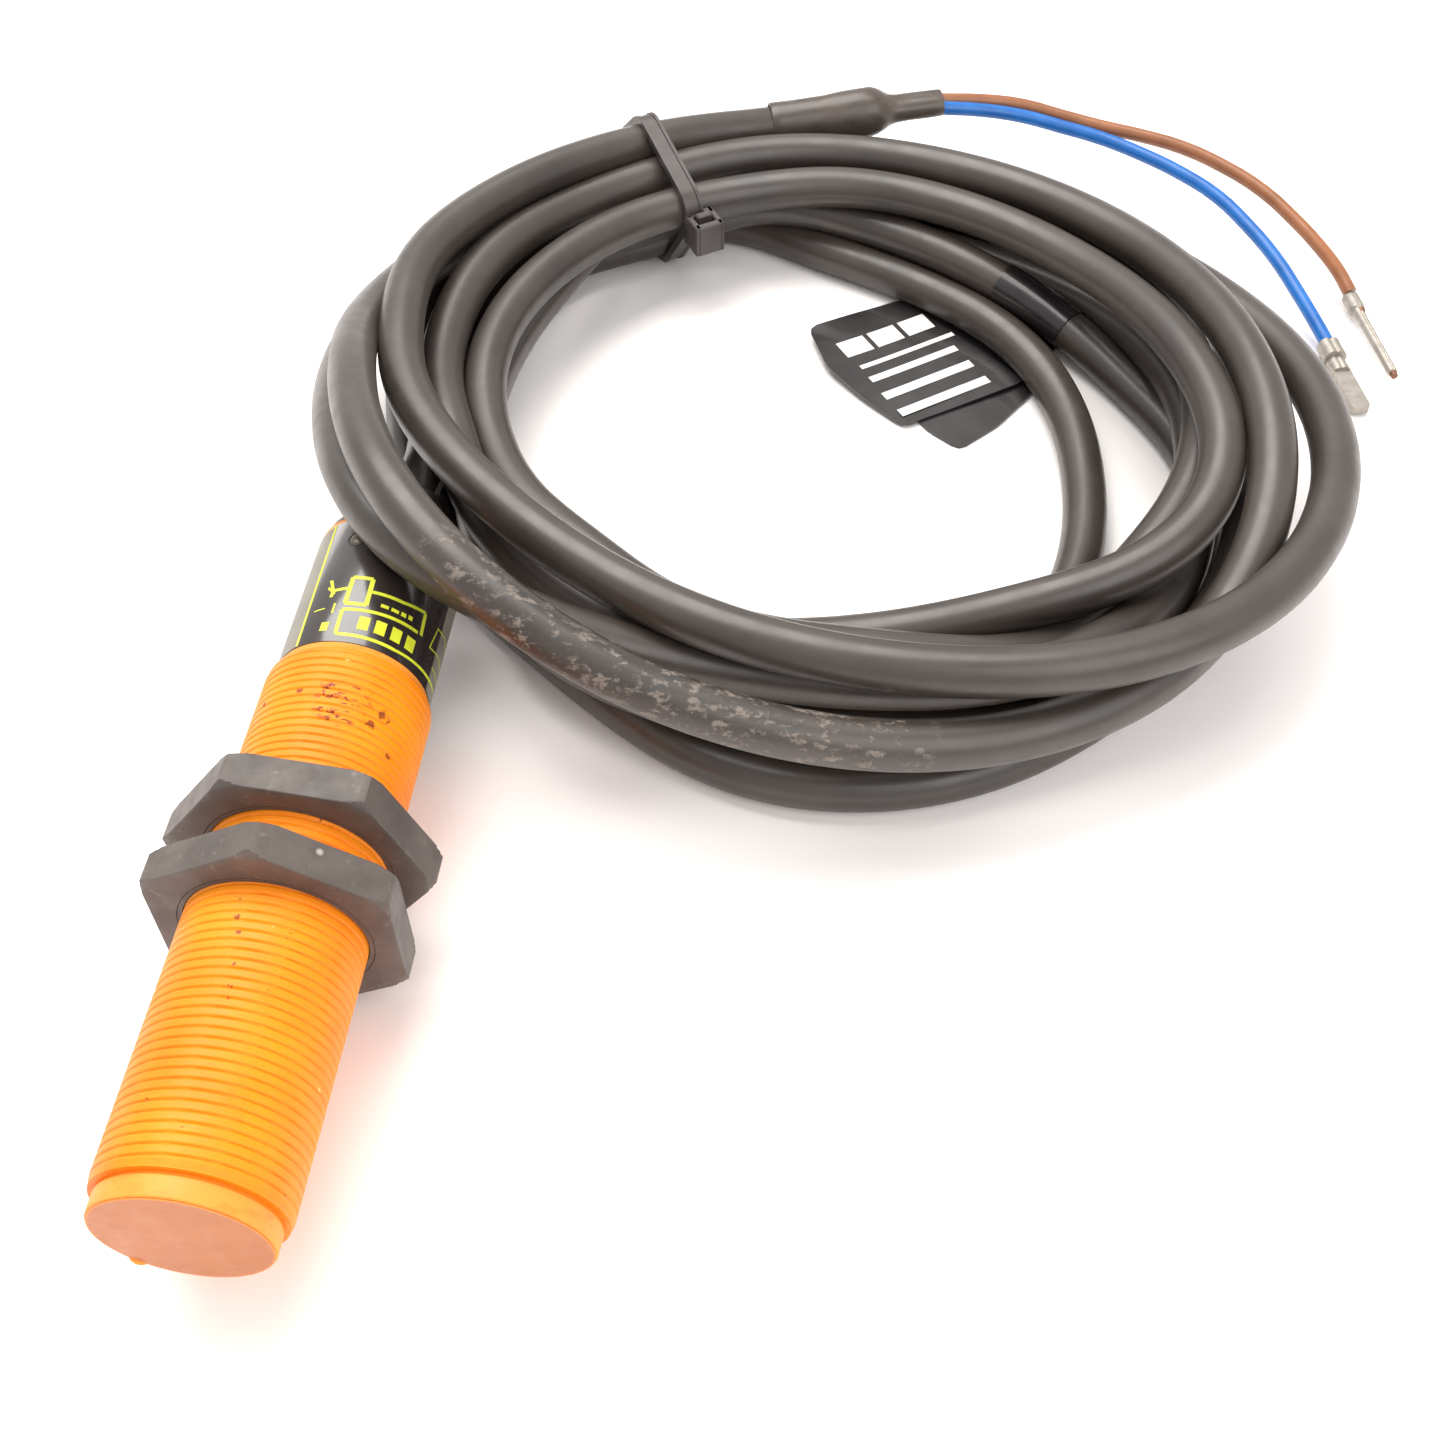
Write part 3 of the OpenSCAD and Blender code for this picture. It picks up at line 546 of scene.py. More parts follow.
def thread_radius(s, turn):
    """Broad rounded crests and narrow grooves, one pitch on for each turn, right-hand."""
    phase = (s / PITCH - turn / (2 * math.pi)) % 1.0
    off = min(phase, 1 - phase)
    t = min(1.0, max(0.0, (0.49 - off) / 0.18))
    rise = t * t * (3 - 2 * t)
    start = min(1.0, max(0.0, (s - THREAD_FROM) / 0.9))
    stop = min(1.0, max(0.0, (THREAD_TO - s) / 0.9))
    return ROOT_R + (THREAD_R - ROOT_R) * rise * start * stop


def threaded_barrel():
    ring = round_angles(144)
    front = rounded([(7.75, 0), (8.3, 0), (8.3, 2.05), (8.1, 2.15), (8.1, 2.4)], 0.22)
    back = [(8.3, 60.5), (8.3, 61.3), (8.25, 61.32), (8.25, 80.0), (8.3, 80.02), (8.3, 80.6), (7.4, 80.6)]
    back = rounded(back, 0.12)
    inner = [(7.4, 70.0), (7.4, 40.0), (7.4, 10.0), (7.4, 1.3), (7.75, 1.25)]
    threads = np.arange(THREAD_FROM, THREAD_TO, PITCH / 12)
    points = [on_axis(r, s, a) for r, s in front for a in ring]
    points += [on_axis(thread_radius(s, a), s, a) for s in threads for a in ring]
    points += [on_axis(r, s, a) for r, s in back + inner for a in ring]
    rows = len(front) + len(threads) + len(back) + len(inner)
    return solid("threaded_barrel", points, grid_faces(rows, len(ring), close_rows=True))


finish_piece(threaded_barrel(), "barrel", ORANGE, "threaded_housing", 60)

FACE = face_finish()
face_profile = [(0.02, 8.4), (6.7, 8.4), (7.35, 8.4), (7.35, 1.2), (7.7, 1.2), (7.7, -0.02)]
face_profile = rounded(face_profile + [(8.12, -0.02), (8.12, -0.14), (0.02, -0.17)], 0.1)
finish_piece(turned("sensing_face", face_profile), "barrel", FACE, "sensing_face_cap")


def flash_burr():
    """The small tongue of moulding flash at the bottom of the face's rim."""
    points = []
    rings, sides = 7, 12
    for i in range(rings):
        t = i / (rings - 1)
        w = 0.75 * math.sin(math.pi * (0.08 + 0.84 * t)) + 0.05
        a = math.radians(222) + 0.2 * (t - 0.5)
        for b in round_angles(sides):
            points.append(on_axis(8.15 + 0.38 * w * math.cos(b), 0.05 - 0.16 + 0.42 * w * math.sin(b), a))
    return solid("moulding_flash", points, grid_faces(rings, sides) + end_caps(rings, sides))


finish_piece(flash_burr(), "barrel", ORANGE)

# ---- label and its print ----

LABEL_R = 8.36
INK_LOW, INK_TOP, LABEL_GLARE_TOP = 8.35, 8.378, 8.366
label_profile = [(8.26, 61.35), (8.34, 61.35), (LABEL_R, 61.4), (LABEL_R, 70.0), (LABEL_R, 79.9), (8.34, 79.95)]
label = turned("rating_label_film", label_profile + [(8.26, 79.95)], 120, closed=True)
finish_piece(label, "barrel", LABEL, "rating_label")


def print_patch(s0, s1, a0, a1, a0_end=None, a1_end=None, top=INK_TOP):
    """A printed patch on the label: from s0 to s1 along it, and from angle a0 to a1 round it, in degrees."""
    a0_end = a0 if a0_end is None else a0_end
    a1_end = a1 if a1_end is None else a1_end
    n = max(2, int(abs(a1 - a0) / 3) + 2)
    m = max(2, int(abs(s1 - s0) / 2) + 2)
    points = []
    for r in (INK_LOW, top):
        for i in range(m):
            t = i / (m - 1)
            for k in range(n):
                u = k / (n - 1)
                a = (a0 + (a1 - a0) * u) * (1 - t) + (a0_end + (a1_end - a0_end) * u) * t
                points.append(on_axis(r, s0 + (s1 - s0) * t, math.radians(a)))
    low = grid_faces(m, n, close_cols=False)
    high = grid_faces(m, n, close_cols=False, start=m * n)
    edge = list(range(n)) + [i * n + n - 1 for i in range(1, m)]
    edge += [(m - 1) * n + k for k in range(n - 2, -1, -1)] + [i * n for i in range(m - 2, 0, -1)]
    side = [(a, b, b + m * n, a + m * n) for a, b in zip(edge, edge[1:] + edge[:1])]
    return points, low + high + side


def print_line(s0, a0, s1, a1, w):
    """A straight printed line of width w mm between two places."""
    wa = math.degrees(w / LABEL_R)
    if abs(s1 - s0) > abs(math.radians(a1 - a0)) * LABEL_R:
        return print_patch(s0, s1, a0 - wa / 2, a0 + wa / 2, a1 - wa / 2, a1 + wa / 2)
    lo = min((a0, s0), (a1, s1))
    hi = max((a0, s0), (a1, s1))
    n = max(2, int((hi[0] - lo[0]) / 3) + 2)
    points = []
    for r in (INK_LOW, INK_TOP):
        for side in (-w / 2, w / 2):
            for k in range(n):
                t = k / (n - 1)
                a = math.radians(lo[0] + (hi[0] - lo[0]) * t)
                points.append(on_axis(r, lo[1] + (hi[1] - lo[1]) * t + side, a))
    return points, strip_faces(n)


def print_loop(corners, w):
    """A printed outline through (s, angle) corners."""
    return [print_line(*a, *b, w) for a, b in zip(corners, corners[1:] + corners[:1])]


def printed_lines(*lines):
    return [print_line(*line) for line in lines]


def printed_marks():
    marks = [print_line(61.5, -35.5, 79.8, -38.0, 0.34)]
    # the load's symbol with its leads
    marks += print_loop([(70.6, -4.7), (70.6, 10.2), (66.8, 10.8), (66.8, -4.7)], 0.5)
    marks += printed_lines(
        (68.8, 11.5, 68.9, 36.0, 0.42), (68.9, 36.0, 69.5, 56.0, 0.42), (69.5, 56.2, 66.4, 57.6, 0.42),
        (69.0, -5.6, 68.7, -17.5, 0.4), (68.7, -17.4, 70.4, -22.0, 0.4), (68.7, -17.4, 67.8, -17.6, 0.4),
        (69.3, -22.6, 68.3, -15.2, 0.4),
    )
    # outlined code box, with plain bars where the code was
    marks += printed_lines(
        (65.9, -5.3, 66.2, 30.0, 0.42), (66.2, 30.0, 66.4, 54.0, 0.42), (62.4, -4.4, 62.4, 40.0, 0.42),
        (62.4, 40.0, 63.1, 96.0, 0.36), (62.5, -4.6, 65.8, -5.2, 0.42),
    )
    marks += [print_patch(63.4, 65.2, a, a + 8.0) for a in (9.0, 21.5, 34.0, 46.5)]
    # plain bars where the words and letters were
    for s, a, h, w in ((67.1, 21, 1.0, 6), (67.1, 29, 1.0, 6), (67.1, 37, 1.2, 4), (67.2, 43, 1.3, 3.6)):
        marks.append(print_patch(s, s + h * 0.45, a, a + w))
    marks += [print_patch(65.4, 66.8, -13.2, -11.6), print_patch(62.9, 64.1, -18.0, -12.0)]
    marks += [print_line(66.1, -29.0, 66.2, -19.5, 0.16)]
    # a thin sketched symbol at the side
    marks += printed_lines(
        (69.4, 73.0, 69.9, 88.0, 0.16), (69.9, 88.0, 69.6, 103.0, 0.16), (69.2, 73.5, 66.2, 69.8, 0.16),
        (66.2, 70.0, 66.8, 86.0, 0.16), (66.8, 86.0, 66.5, 106.0, 0.16), (64.6, 80.0, 64.9, 104.0, 0.16),
    )
    return marks


finish_piece(gather("label_marks", printed_marks()), "barrel", PRINT)
# painted reflection: light grey strips along the label's two sides, where it turns away and mirrors its bright
# surroundings
glare_strips = [print_patch(61.5, 79.8, -74, -36.2, -76, -38.6, LABEL_GLARE_TOP)]
glare_strips += [print_patch(61.5, 79.8, 80, 112, top=LABEL_GLARE_TOP)]
finish_piece(gather("label_glare_strips", glare_strips), "barrel", LABEL_GLARE)

# ---- rear cap, boot and lens ----

cap_profile = rounded([(2.86, 79.55), (7.34, 79.55), (7.34, 80.66), (7.9, 80.66), (7.9, 82.4), (2.86, 82.4)], 0.9, 6)
finish_piece(turned("rear_cap", cap_profile, 96, closed=True), "barrel", CAP, "rear_end_cap")


def boot_profile():
    """A tapered strain relief with three shallow grooves."""
    out = [(2.86, 82.45), (4.4, 82.45), (4.5, 82.6), (4.5, 83.5)]
    s = 83.6
    while s < 90.8:
        t = (s - 83.6) / 7.4
        r = 4.4 - 0.7 * t
        groove = 0.28 if (s - 84.6) % 2.0 < 0.75 and s > 84.5 and s < 90.2 else 0.0
        out.append((r - groove, s))
        s += 0.25
    return out + [(3.6, 90.95), (3.4, 91.05), (2.86, 91.05)]


finish_piece(turned("strain_relief_boot", boot_profile(), 72, closed=True), "barrel", BOOT, "cable_boot")

LENS_TURN = math.radians(-12)


def in_lens(r, h, a):
    """A point of the light window: h is the height from the barrel's axis along its own tilted line."""
    x, y = r * math.cos(a), r * math.sin(a)
    return (
        x * math.cos(LENS_TURN) + h * math.sin(LENS_TURN),
        76.5 - HALF_LEN + y,
        AXIS_Z + h * math.cos(LENS_TURN) - x * math.sin(LENS_TURN),
    )


lens_profile = [(0.02, 3.3), (0.7, 3.3), (0.72, 7.2), (0.9, 7.4), (0.9, 8.3), (0.82, 8.42), (0.6, 8.5)]
lens = turned("light_window", lens_profile + [(0.3, 8.54), (0.02, 8.55)], 32, place=in_lens)
finish_piece(lens, "barrel", LENS, "status_led_lens")
ring = turned("light_window_ring", [(0.92, 8.3), (0.96, 8.4), (1.04, 8.4), (1.08, 8.3)], 32, closed=True, place=in_lens)
finish_piece(ring, "barrel", CAP)

# ---- lock nuts ----

NUT_AF, NUT_T = 24.0, 4.0
FRONT_NUT_S, REAR_NUT_S = 30.55, 38.85


def lock_nut(name, s0, turn):
    """A thin hexagon nut: flats, corners turned down at both faces, and a plain bore."""
    ring = round_angles(240)
    edge = [(0.0, 12.92), (0.04, 13.0), (0.12, 13.15), (0.3, 13.5), (0.46, 13.9), (0.8, 13.95), (2.0, 13.95)]
    outer = edge + [(NUT_T - a, r) for a, r in reversed(edge[:-1])]
    soften = [0.16, 0.05, 0.0, 0, 0, 0, 0, 0, 0, 0, 0, 0.05, 0.16]
    bore = [(NUT_T, 9.64), (NUT_T - 0.05, 9.6), (2.0, 9.6), (0.05, 9.6), (0.0, 9.64)]
    inner = [(NUT_T, 11.4)] + bore + [(0.0, 11.4)]
    points = []
    for (a, r), less in zip(outer, soften):
        for w in ring:
            flat = NUT_AF / 2 / math.cos((w - turn) % (math.pi / 3) - math.pi / 6)
            points.append(on_axis(min(flat, 13.78, r) - less, s0 + a, w))
    points += [on_axis(r, s0 + a, w) for a, r in inner for w in ring]
    return solid(name, points, grid_faces(len(outer) + len(inner), len(ring), close_rows=True))


def nut_lining(name, s0):
    """The nut's threaded lining, flush with its two faces."""
    profile = [(9.1, 0.02), (9.56, 0.02), (9.56, NUT_T - 0.02), (9.1, NUT_T - 0.02)]
    inner = [(9.1 if i % 2 else 9.05, NUT_T - 0.5 - i * 0.5) for i in range(7)]
    return turned(name, [(r, s0 + s) for r, s in profile + inner], 96, closed=True)


finish_piece(nut_lining("nut_lining_front", FRONT_NUT_S), "front_nut_thread", NUT_FRONT, "front_nut_thread")
finish_piece(nut_lining("nut_lining_rear", REAR_NUT_S), "rear_nut_thread", NUT_REAR, "rear_nut_thread")
front_nut = lock_nut("lock_nut_front", FRONT_NUT_S, 0.0)
finish_piece(front_nut, "front_nut", NUT_FRONT, "front_lock_nut", 24)
rear_nut = lock_nut("lock_nut_rear", REAR_NUT_S, math.radians(-22.7))
finish_piece(rear_nut, "rear_nut", NUT_REAR, "rear_lock_nut", 24)

# ---- shrink sleeve ----

SLEEVE_AT = (35.8, 135.65, 13.6)
SLEEVE_TO = (0.9654, 0.2607)
SLEEVE_RISE, SLEEVE_SCALE = 0.045, 0.918


def in_sleeve(r, along, a):
    side, up = r * math.cos(a), r * math.sin(a)
    along *= SLEEVE_SCALE
    (x, y, z), (dx, dy) = SLEEVE_AT, SLEEVE_TO
    return (x + dx * along - dy * side, y + dy * along + dx * side, z + SLEEVE_RISE * along + up)


def sleeve_shape(r, along, a):
    """Round on the jacket, drawn in to an oval round the two cores, with faint wrinkles."""
    neck = min(1.0, max(0.0, (along - 16) / 5))
    oval = 1 + 0.16 * neck * math.cos(2 * (a - 0.1))
    wrinkle = 0.04 * math.sin(5 * a + along * 1.3) + 0.03 * math.sin(9 * a - along * 2.1)
    return r * oval + wrinkle * (1 if r > 1.9 and 0.2 < along < 27.8 else 0)


sleeve_profile = [(2.83, -0.4), (3.05, -0.42), (3.12, -0.3)]
sleeve_profile += [
    (3.1 + (0.06 * math.sin(i * 0.9) if i > 1 else 0) + bulge, s)
    for i, (s, bulge) in enumerate(
        [(1, 0), (3, 0), (5, 0), (7, 0), (8.5, 0.15), (10, 0.28), (11.5, 0.38), (13.2, 0.42), (14.7, 0.42),
         (16.1, 0.36), (17, 0.24), (17.8, 0), (18.6, -0.45), (19.4, -0.85), (20.4, -1.08), (22.5, -1.18),
         (26, -1.2), (27.5, -1.2)]
    )
]
sleeve_profile += [(1.86, 27.95), (1.7, 28.0), (1.2, 27.9), (0.02, 27.9)]
sleeve_profile = [(0.02, 0.1), (2.83, 0.1)] + sleeve_profile
sleeve = turned("shrink_sleeve", sleeve_profile, 64, place=in_sleeve, shape=sleeve_shape)
finish_piece(sleeve, "barrel", SLEEVE, "heat_shrink_sleeve", 50)

# ---- cable tie ----

TIE_ANGLE = math.radians(328)
TIE_T = 1.1
tie_dir = np.array([math.sin(TIE_ANGLE), math.cos(TIE_ANGLE)])
tie_side = np.array([math.cos(TIE_ANGLE), -math.sin(TIE_ANGLE)])


def in_tie(r, z, across):
    """A point in the tie's plane: r from the coil's middle, z up, across along the cable."""
    x, y = COIL_AT + tie_dir * r + tie_side * across
    return (float(x), float(y), float(z))


def tie_section():
    """Where the turns cross the tie's plane, as (r, z)."""
    rel = cable_line[:, :2] - COIL_AT
    along, across = rel @ tie_dir, rel @ tie_side
    out = []
    for k in range(len(cable_line) - 1):
        if across[k] <= 0 < across[k + 1] and along[k] > 20:
            t = -across[k] / (across[k + 1] - across[k])
            p = cable_line[k] * (1 - t) + cable_line[k + 1] * t
            out.append((float((p[:2] - COIL_AT) @ tie_dir), float(p[2])))
    return out


def hull_of(points):
    """The convex outline of 2-D points, anticlockwise."""
    pts = sorted(set((round(x, 4), round(y, 4)) for x, y in points))

    def half(seq):
        out = []
        for p in seq:
            while len(out) > 1:
                (ax, ay), (bx, by) = out[-2], out[-1]
                if (bx - ax) * (p[1] - ay) - (by - ay) * (p[0] - ax) > 0:
                    break
                out.pop()
            out.append(p)
        return out[:-1]

    return half(pts) + half(pts[::-1])


def tie_loop(off):
    """The tie's line at a distance from the jacket, never lower than the surface that the coil lies on."""
    circle, reach = [], CABLE_D / 2 + off
    for r, z in tie_section():
        circle += [(r + reach * math.cos(a), max(z + reach * math.sin(a), off * 0.4)) for a in round_angles(48)]
    outline = hull_of(circle)
    dense = []
    for (ax, ay), (bx, by) in zip(outline, outline[1:] + outline[:1]):
        n = max(1, int(math.hypot(bx - ax, by - ay) / 0.8))
        dense += [(ax + (bx - ax) * k / n, ay + (by - ay) * k / n) for k in range(n)]
    return dense


def tie_strap():
    inner = tie_loop(0.12)
    half = [(-1.3, 0.0), (-1.3, 1.0), (-0.85, 1.0), (-0.8, 0.86)]
    section = half + [(-across, depth) for across, depth in reversed(half)]
    points = []
    n = len(inner)
    for k in range(n):
        here = np.array(inner[k])
        tangent = np.array(inner[(k + 1) % n]) - np.array(inner[k - 1])
        out = np.array([tangent[1], -tangent[0]]) / max(np.linalg.norm(tangent), 1e-6)
        lift = 0.35 if here[1] < 1.0 else TIE_T
        ribs = 0.06 if k % 2 else 0.0
        for across, depth in section:
            q = here + out * (depth * lift - (ribs if abs(across) < 0.82 and depth > 0 else 0))
            points.append(in_tie(q[0], max(q[1], 0.02), across))
    return gather("tie_strap", [(points, grid_faces(n, 8, close_rows=True))])


finish_piece(tie_strap(), "barrel", TIE, "cable_tie_strap", 30)


def block_part(size, at, place, round_by):
    """A block with rounded upright edges and eased top and bottom, built in rings."""
    w, d, h = size
    points, rings = [], []
    for z, inset in ((0, 0.18), (0.18, 0.0), (h - 0.18, 0.0), (h, 0.18)):
        ring = []
        for cx, cy, a0 in ((1, 1, 0), (-1, 1, 90), (-1, -1, 180), (1, -1, 270)):
            for k in range(5):
                a, curve = math.radians(a0 + 90 * k / 4), round_by - inset
                x, y = cx * (w / 2 - round_by), cy * (d / 2 - round_by)
                ring.append((x + curve * math.cos(a), y + curve * math.sin(a), z))
        rings.append(ring)
    for ring in rings:
        points += [place(at[0] + x, at[1] + y, at[2] + z) for x, y, z in ring]
    n = len(rings[0])
    return points, grid_faces(4, n) + end_caps(4, n)


HEAD_SIDE, HEAD_GAP = 0.8, 2.2  # to the right of the strap, and from the innermost turn to the head's middle


def in_head(x, y, z):
    return in_tie(x, z, y + HEAD_SIDE)


head_at = min(r for r, z in tie_section()) - CABLE_D / 2 - HEAD_GAP
head_parts = [
    block_part((4.4, 0.9, 4.6), (head_at, -1.75, 9.0), in_head, 0.3),
    block_part((4.4, 0.9, 4.6), (head_at, 1.75, 9.0), in_head, 0.3),
    block_part((1.4, 4.2, 4.6), (head_at + 1.5, 0, 9.0), in_head, 0.3),
    block_part((1.1, 4.2, 4.6), (head_at - 1.65, 0, 9.0), in_head, 0.3),
    block_part((1.1, 2.3, 6.6), (head_at + 0.1, 0, 7.6), in_head, 0.25),
]
finish_piece(gather("tie_head", head_parts), "barrel", TIE, "cable_tie_head", 30)

# ---- tag ----

TOP_LEAF = [(43.9, 103.5), (47, 95.5), (52.1, 90.1), (58.2, 84.9), (60.3, 86.4), (74.6, 95.7), (57.2, 112.8)]
TOP_LEAF += [(49.4, 107.6)]
LOW_LEAF = [(49, 104), (61.2, 85), (65.8, 81.5), (71, 86.8), (75, 92.9), (78.2, 101.5), (79.8, 107), (72, 111)]
LOW_LEAF += [(57, 111)]
TOP_LIFT, PRINT_Z = 0.7, 0.99


def leaf_curl(x):
    """How much of its lift a leaf has at x: none under the cable, more towards its free edge."""
    return max(0.0, (58.0 - x) / 14.0) ** 2


def tag_layer(outline_at, z0, lift):
    """One leaf of the tag: a fan of rings from its middle, its free edge curled up a little."""
    outline = []
    pts = [np.array(p, float) for p in outline_at]
    for a, b in zip(pts, pts[1:] + pts[:1]):
        n = max(2, int(np.linalg.norm(b - a) / 1.2))
        for k in range(n):
            outline.append(a + (b - a) * k / n)
    outline = [(outline[k - 1] + outline[k] * 2 + outline[(k + 1) % len(outline)]) / 4 for k in range(len(outline))]
    mid = np.mean(outline, axis=0)
    points = []
    n = len(outline)
    rows = 9
    for side in (0, 1):
        for i in range(rows):
            t = 1 - i / rows
            for k in range(n):
                p = mid + (outline[k] - mid) * t
                edge = t**3 * 0.25 * math.sin(k * 0.21)
                points.append((float(p[0]), float(p[1]), z0 + lift * leaf_curl(p[0]) + edge * lift + 0.32 * side))
    faces = grid_faces(rows, n) + grid_faces(rows, n, start=rows * n)
    faces += [(k, (k + 1) % n, rows * n + (k + 1) % n, rows * n + k) for k in range(n)]
    faces += [tuple((rows - 1) * n + k for k in range(n)), tuple((2 * rows - 1) * n + k for k in range(n))]
    return points, faces


def tag_wrap(radius, from_angle, to_angle):
    """The part of the tag that is wrapped round one strand."""
    rel = cable_line - np.array([*COIL_AT, 0])
    angle = np.degrees(np.arctan2(rel[:, 0], rel[:, 1]))
    size = np.hypot(rel[:, 0], rel[:, 1])
    on = [k for k in range(len(rel)) if from_angle < angle[k] < to_angle and 38.5 < size[k] < 44.5 and rel[k, 2] < 8]
    points, sides = [], 28
    for k in on:
        along = cable_line[k + 1] - cable_line[k - 1]
        along /= np.linalg.norm(along)
        out = np.cross(along, (0, 0, 1))
        out /= np.linalg.norm(out)
        up = np.cross(out, along)
        for a in round_angles(sides):
            q = cable_line[k] + (out * math.cos(a) + up * math.sin(a)) * radius
            points.append((float(q[0]), float(q[1]), max(0.05, float(q[2]))))
    return points, grid_faces(len(on), sides) + end_caps(len(on), sides)


tag_parts = [tag_layer(LOW_LEAF, 0.1, 0.25), tag_layer(TOP_LEAF, 0.62, TOP_LIFT), tag_wrap(3.0, 27, 50)]
tag = gather("flag_tag_film", tag_parts)
finish_piece(tag, "barrel", TAG, "flag_tag", 50)


TAG_TURN = math.radians(35.5)


def tag_bar(x, y, length, height):
    """A plain bar printed on the tag where a line of words was."""
    c, s = math.cos(TAG_TURN), math.sin(TAG_TURN)

    def place(u, v, w):
        px, py = x + u * c - v * s, y + u * s + v * c
        return (px, py, PRINT_Z + TOP_LIFT * leaf_curl(px) + w)

    points, n = [], 8
    for w in (-0.04, 0.03):
        for v in (0, height):
            points += [place(length * k / (n - 1), v, w) for k in range(n)]
    return points, strip_faces(n)


bars = [
    tag_bar(*place)
    for place in (
        (49.9, 98.0, 4.4, 3.3), (54.1, 101.0, 4.4, 3.3), (58.3, 104.0, 4.4, 3.3), (52.0, 95.8, 15.6, 0.8),
        (53.6, 93.2, 14.4, 1.2), (55.7, 89.8, 14.6, 1.5), (58.0, 86.6, 14.6, 1.5),
    )
]
finish_piece(gather("tag_marks", bars), "barrel", TAG_INK)

# ---- terminals ----


def local(origin, turn):
    """Places (x, y, z) of a terminal whose +Y runs away from its wire."""
    c, s = math.cos(turn), math.sin(turn)
    return lambda x, y, z: (origin[0] + x * c - y * s, origin[1] + x * s + y * c, origin[2] + z)


METAL_SIDES = 28
spade = local((117.0, 107.2, 0.0), math.radians(193.5))
pin = local((121.3, 118.2, 2.0), math.radians(192.7))


def crimp(place, y0, y1, r, z, waist):
    """A crimped barrel: a thick sheet rolled round the wire, its two edges met on top in a groove."""
    points = []
    rows = 15
    for i in range(rows):
        t = i / (rows - 1)
        pinch = 1 - waist * math.sin(math.pi * t) ** 2
        y = y0 + (y1 - y0) * t
        for a in round_angles(METAL_SIDES):
            up = math.cos(a)
            fold = 0.22 * math.exp(-((min(a, 2 * math.pi - a)) / 0.25) ** 2)
            rr = r * pinch - fold * r
            points.append(place(rr * math.sin(a), y, z + rr * up * (0.92 if up > 0 else 1.0)))
    return points, grid_faces(rows, METAL_SIDES) + end_caps(rows, METAL_SIDES)


def plate(outline, z0, z1, place):
    """A flat closed outline given thickness from z0 to z1."""
    n = len(outline)
    points = [place(x, y, z) for z in (z0, z1) for x, y in outline]
    faces = [tuple(range(n)), tuple(range(2 * n - 1, n - 1, -1))]
    return points, faces + [(k, (k + 1) % n, n + (k + 1) % n, n + k) for k in range(n)]


tongue = [(-1.3, 4.4), (1.3, 4.4), (1.3, 12.9), (1.0, 13.4), (-1.0, 13.4), (-1.3, 12.9)]
spade_parts = [
    crimp(spade, 0.0, 3.0, 1.6, 1.65, 0.03),
    crimp(spade, 2.6, 5.6, 1.25, 1.2, -0.04),
    plate([(-0.95, 1.6), (0.95, 1.6), (0.95, 4.6), (-0.95, 4.6)], 0.35, 1.0, spade),
    plate(tongue, 0.5, 1.6, spade),
]
blue_end = gather("blue_spade", spade_parts)
finish_piece(blue_end, "barrel", TINNED, "blue_spade_terminal", 35)


def rod_part(profile, side=0.0, up=0.0, seam_depth=0.0):
    """A rod along the pin's line, with a rolled seam on top."""
    points = []
    for r, y in profile:
        for a in round_angles(METAL_SIDES):
            seam = seam_depth * math.exp(-((min(a, 2 * math.pi - a)) / 0.16) ** 2) if y > 0.1 else 0
            rr = max(r - seam, 0.01)
            points.append(pin(rr * math.sin(a) + side, y, rr * math.cos(a) + up))
    return points, grid_faces(len(profile), METAL_SIDES) + end_caps(len(profile), METAL_SIDES)


pin_profile = rounded([(0.02, 0), (1.15, 0), (1.15, 3.1), (0.8, 3.5), (0.74, 5.2), (0.7, 9.0), (0.66, 17.2),
                       (0.02, 17.2)], 0.18)
brown_end = gather("brown_pin", [rod_part(pin_profile, seam_depth=0.1)])
finish_piece(brown_end, "barrel", TINNED, "brown_pin_terminal", 35)
strands = [
    rod_part([(0.02, 17.1), (0.5, 17.1), (0.46, 17.9), (0.02, 17.95)]),
    rod_part([(0.02, 3.2), (0.62, 3.2), (0.66, 3.7), (0.5, 4.3), (0.02, 4.4)], -0.25, 0.2),
]
finish_piece(gather("brown_bare_strands", strands), "barrel", BARE_COPPER, (), 35)

# ---- the two cores' first points in metres, worked out and not used ----

tuple(c * MM for c in BLUE_ROUTE[0])
tuple(c * MM for c in BROWN_ROUTE[0])

# ---- finishes of the CAD nodes that stay ----

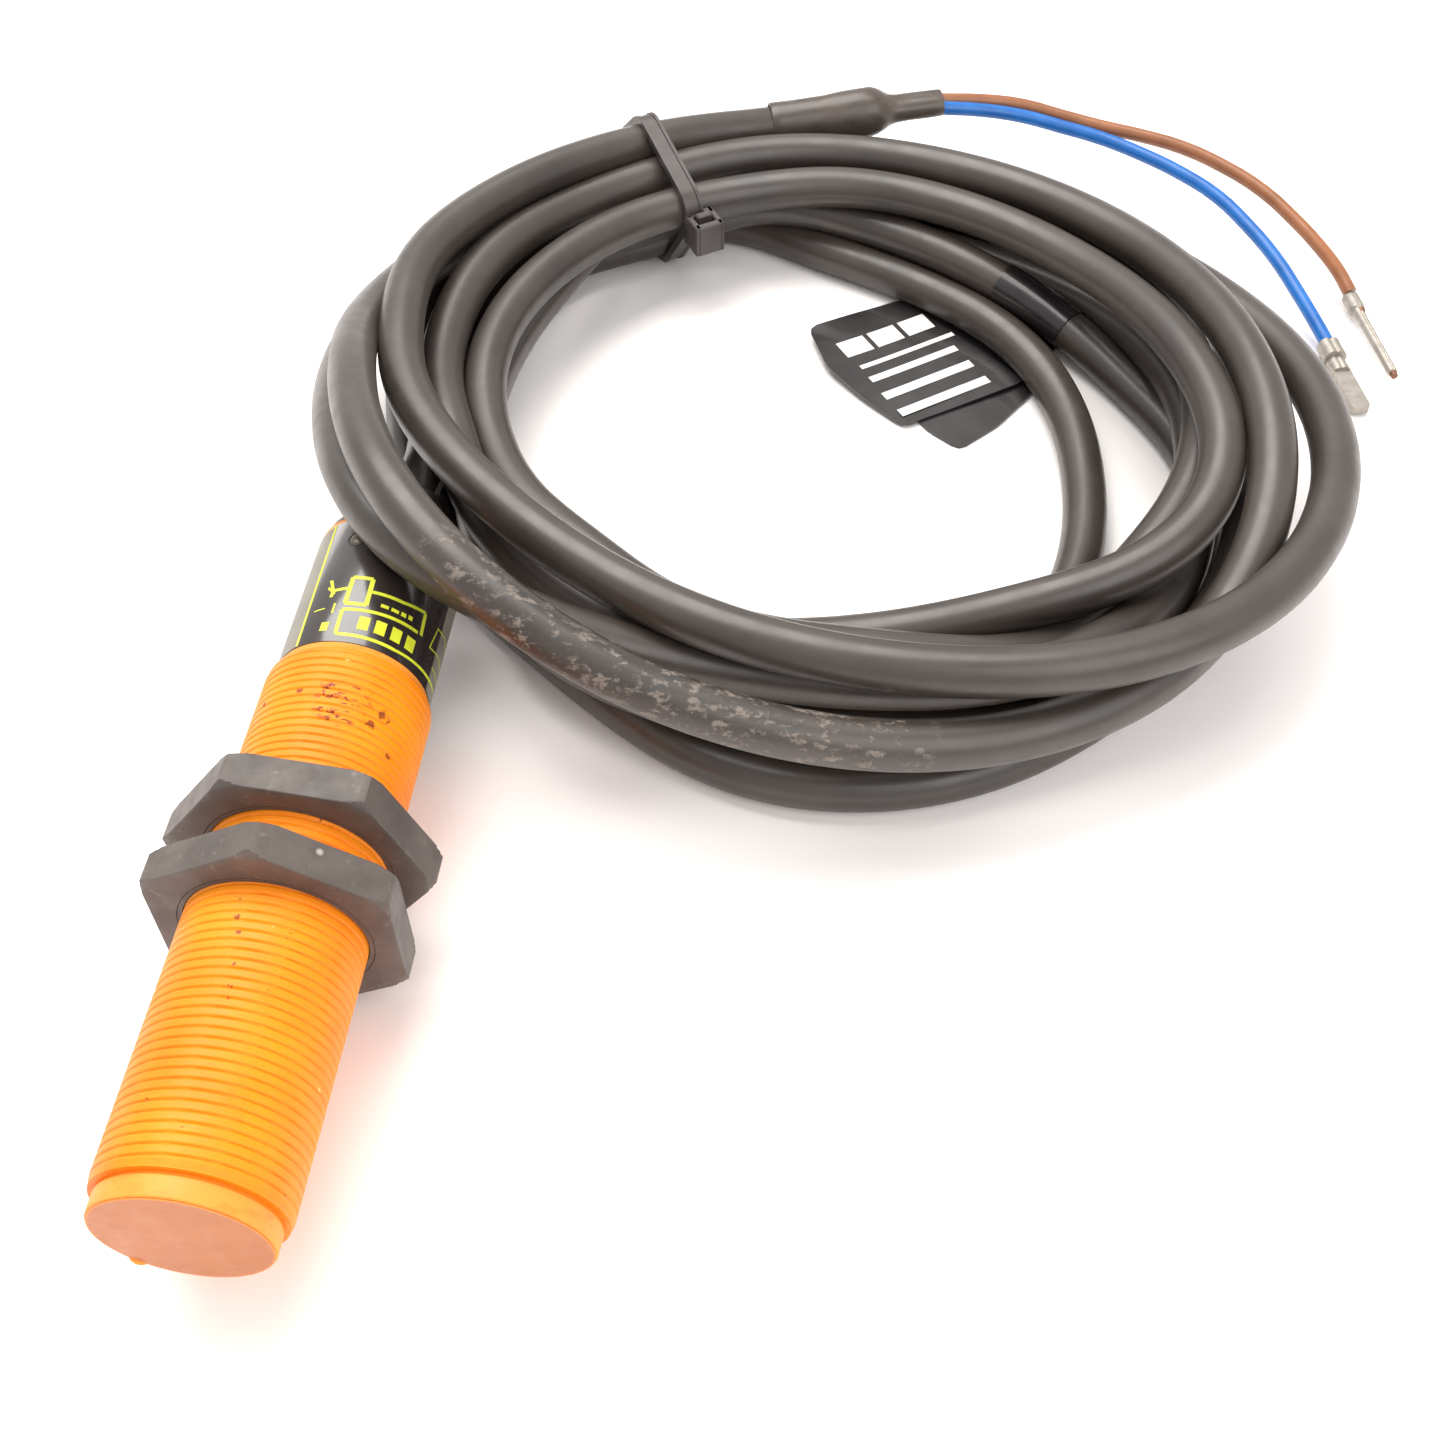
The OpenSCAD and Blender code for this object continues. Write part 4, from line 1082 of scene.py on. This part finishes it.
INSIDE = {
    "ferrite_core": simple_finish("ferrite", linear(72, 72, 78), 0.55, 1600, 0.2),
    "coil_bobbin": simple_finish("bobbin_nylon", linear(228, 222, 204), 0.45, 1200),
    "copper_winding": metal_finish("enamelled_copper", linear(206, 112, 58)),
    "coil_leads": metal_finish("lead_copper", linear(214, 122, 66)),
    "core_carrier": simple_finish("carrier_plastic", linear(52, 52, 54), 0.5, 1200),
    "circuit_board": simple_finish("board_laminate", linear(30, 104, 58), 0.35, 800, 0.25, 0.02, Coat_Weight=0.3),
    "oscillator_chip": simple_finish("chip_epoxy_a", linear(38, 38, 40), 0.5, 2400),
    "bridge_rectifier": simple_finish("chip_epoxy_b", linear(42, 42, 42), 0.5, 2400),
    "output_thyristor": simple_finish("chip_epoxy_c", linear(40, 38, 36), 0.5, 2400),
    "smoothing_capacitor": metal_finish("can_aluminium", linear(196, 198, 204)),
    "surge_varistor": simple_finish("varistor_coating", linear(40, 84, 178), 0.4, 1800),
    "chip_resistors": simple_finish("resistor_ceramic", linear(44, 44, 50), 0.45, 3000),
    "status_led": simple_finish("led_epoxy", linear(252, 196, 70), 0.25, 2400, 0.1, 0.01, Transmission_Weight=0.4),
    "inner_blue_lead": wire_finish("inner_blue", linear(44, 128, 226), linear(30, 108, 204)),
    "inner_brown_lead": wire_finish("inner_brown", linear(150, 88, 54), linear(124, 70, 42)),
    "potting_compound": simple_finish("potting_resin", linear(74, 60, 50), 0.3, 700, 0.25, 0.04),
}
for name, material in INSIDE.items():
    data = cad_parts[name].data
    if not data.materials:
        data.materials.append(material)
    for k in range(len(data.materials)):
        data.materials[k] = material

# ---- floor and light ----


def studio():
    f = Finish("floor_paper", 0.85)
    f.set("Base Color", f.ramp(f.noise(4, 3), (0.3, linear(250, 247, 246)), (0.7, linear(253, 251, 250))))
    f.bump(f.noise(900, 3), 0.05, 0.05)
    n, size = 24, 6000
    points = [((i / n - 0.5) * size, (k / n - 0.5) * size, -0.02) for k in range(n + 1) for i in range(n + 1)]
    floor = mesh_object("floor", points, grid_faces(n + 1, n + 1, close_cols=False))
    scene.collection.objects.link(floor)
    floor.data.materials.append(f.mat)
    world = bpy.data.worlds.new("studio")
    scene.world = world
    world.use_nodes = True
    sky = world.node_tree.nodes["Background"].inputs
    sky["Color"].default_value = (1.0, 0.98, 0.965, 1)
    sky["Strength"].default_value = 0.85
    for name, at, aim, size, power, colour in (
        ("key", (-0.16, 0.36, 0.76), (0.04, 0.06, 0.0), 0.7, 9.5, (1, 0.97, 0.935)),
        ("fill", (0.5, -0.35, 0.6), (0.05, 0.05, 0.0), 0.6, 3.0, (1, 0.97, 0.95)),
    ):
        lamp = bpy.data.lights.new(name, "AREA")
        lamp.size = size
        lamp.energy = power
        lamp.color = colour
        obj = bpy.data.objects.new(name, lamp)
        scene.collection.objects.link(obj)
        obj.location = at
        obj.rotation_euler = (Vector(aim) - Vector(at)).to_track_quat("-Z", "Y").to_euler()


studio()
scene.view_settings.view_transform = "Standard"

bpy.context.view_layer.update()
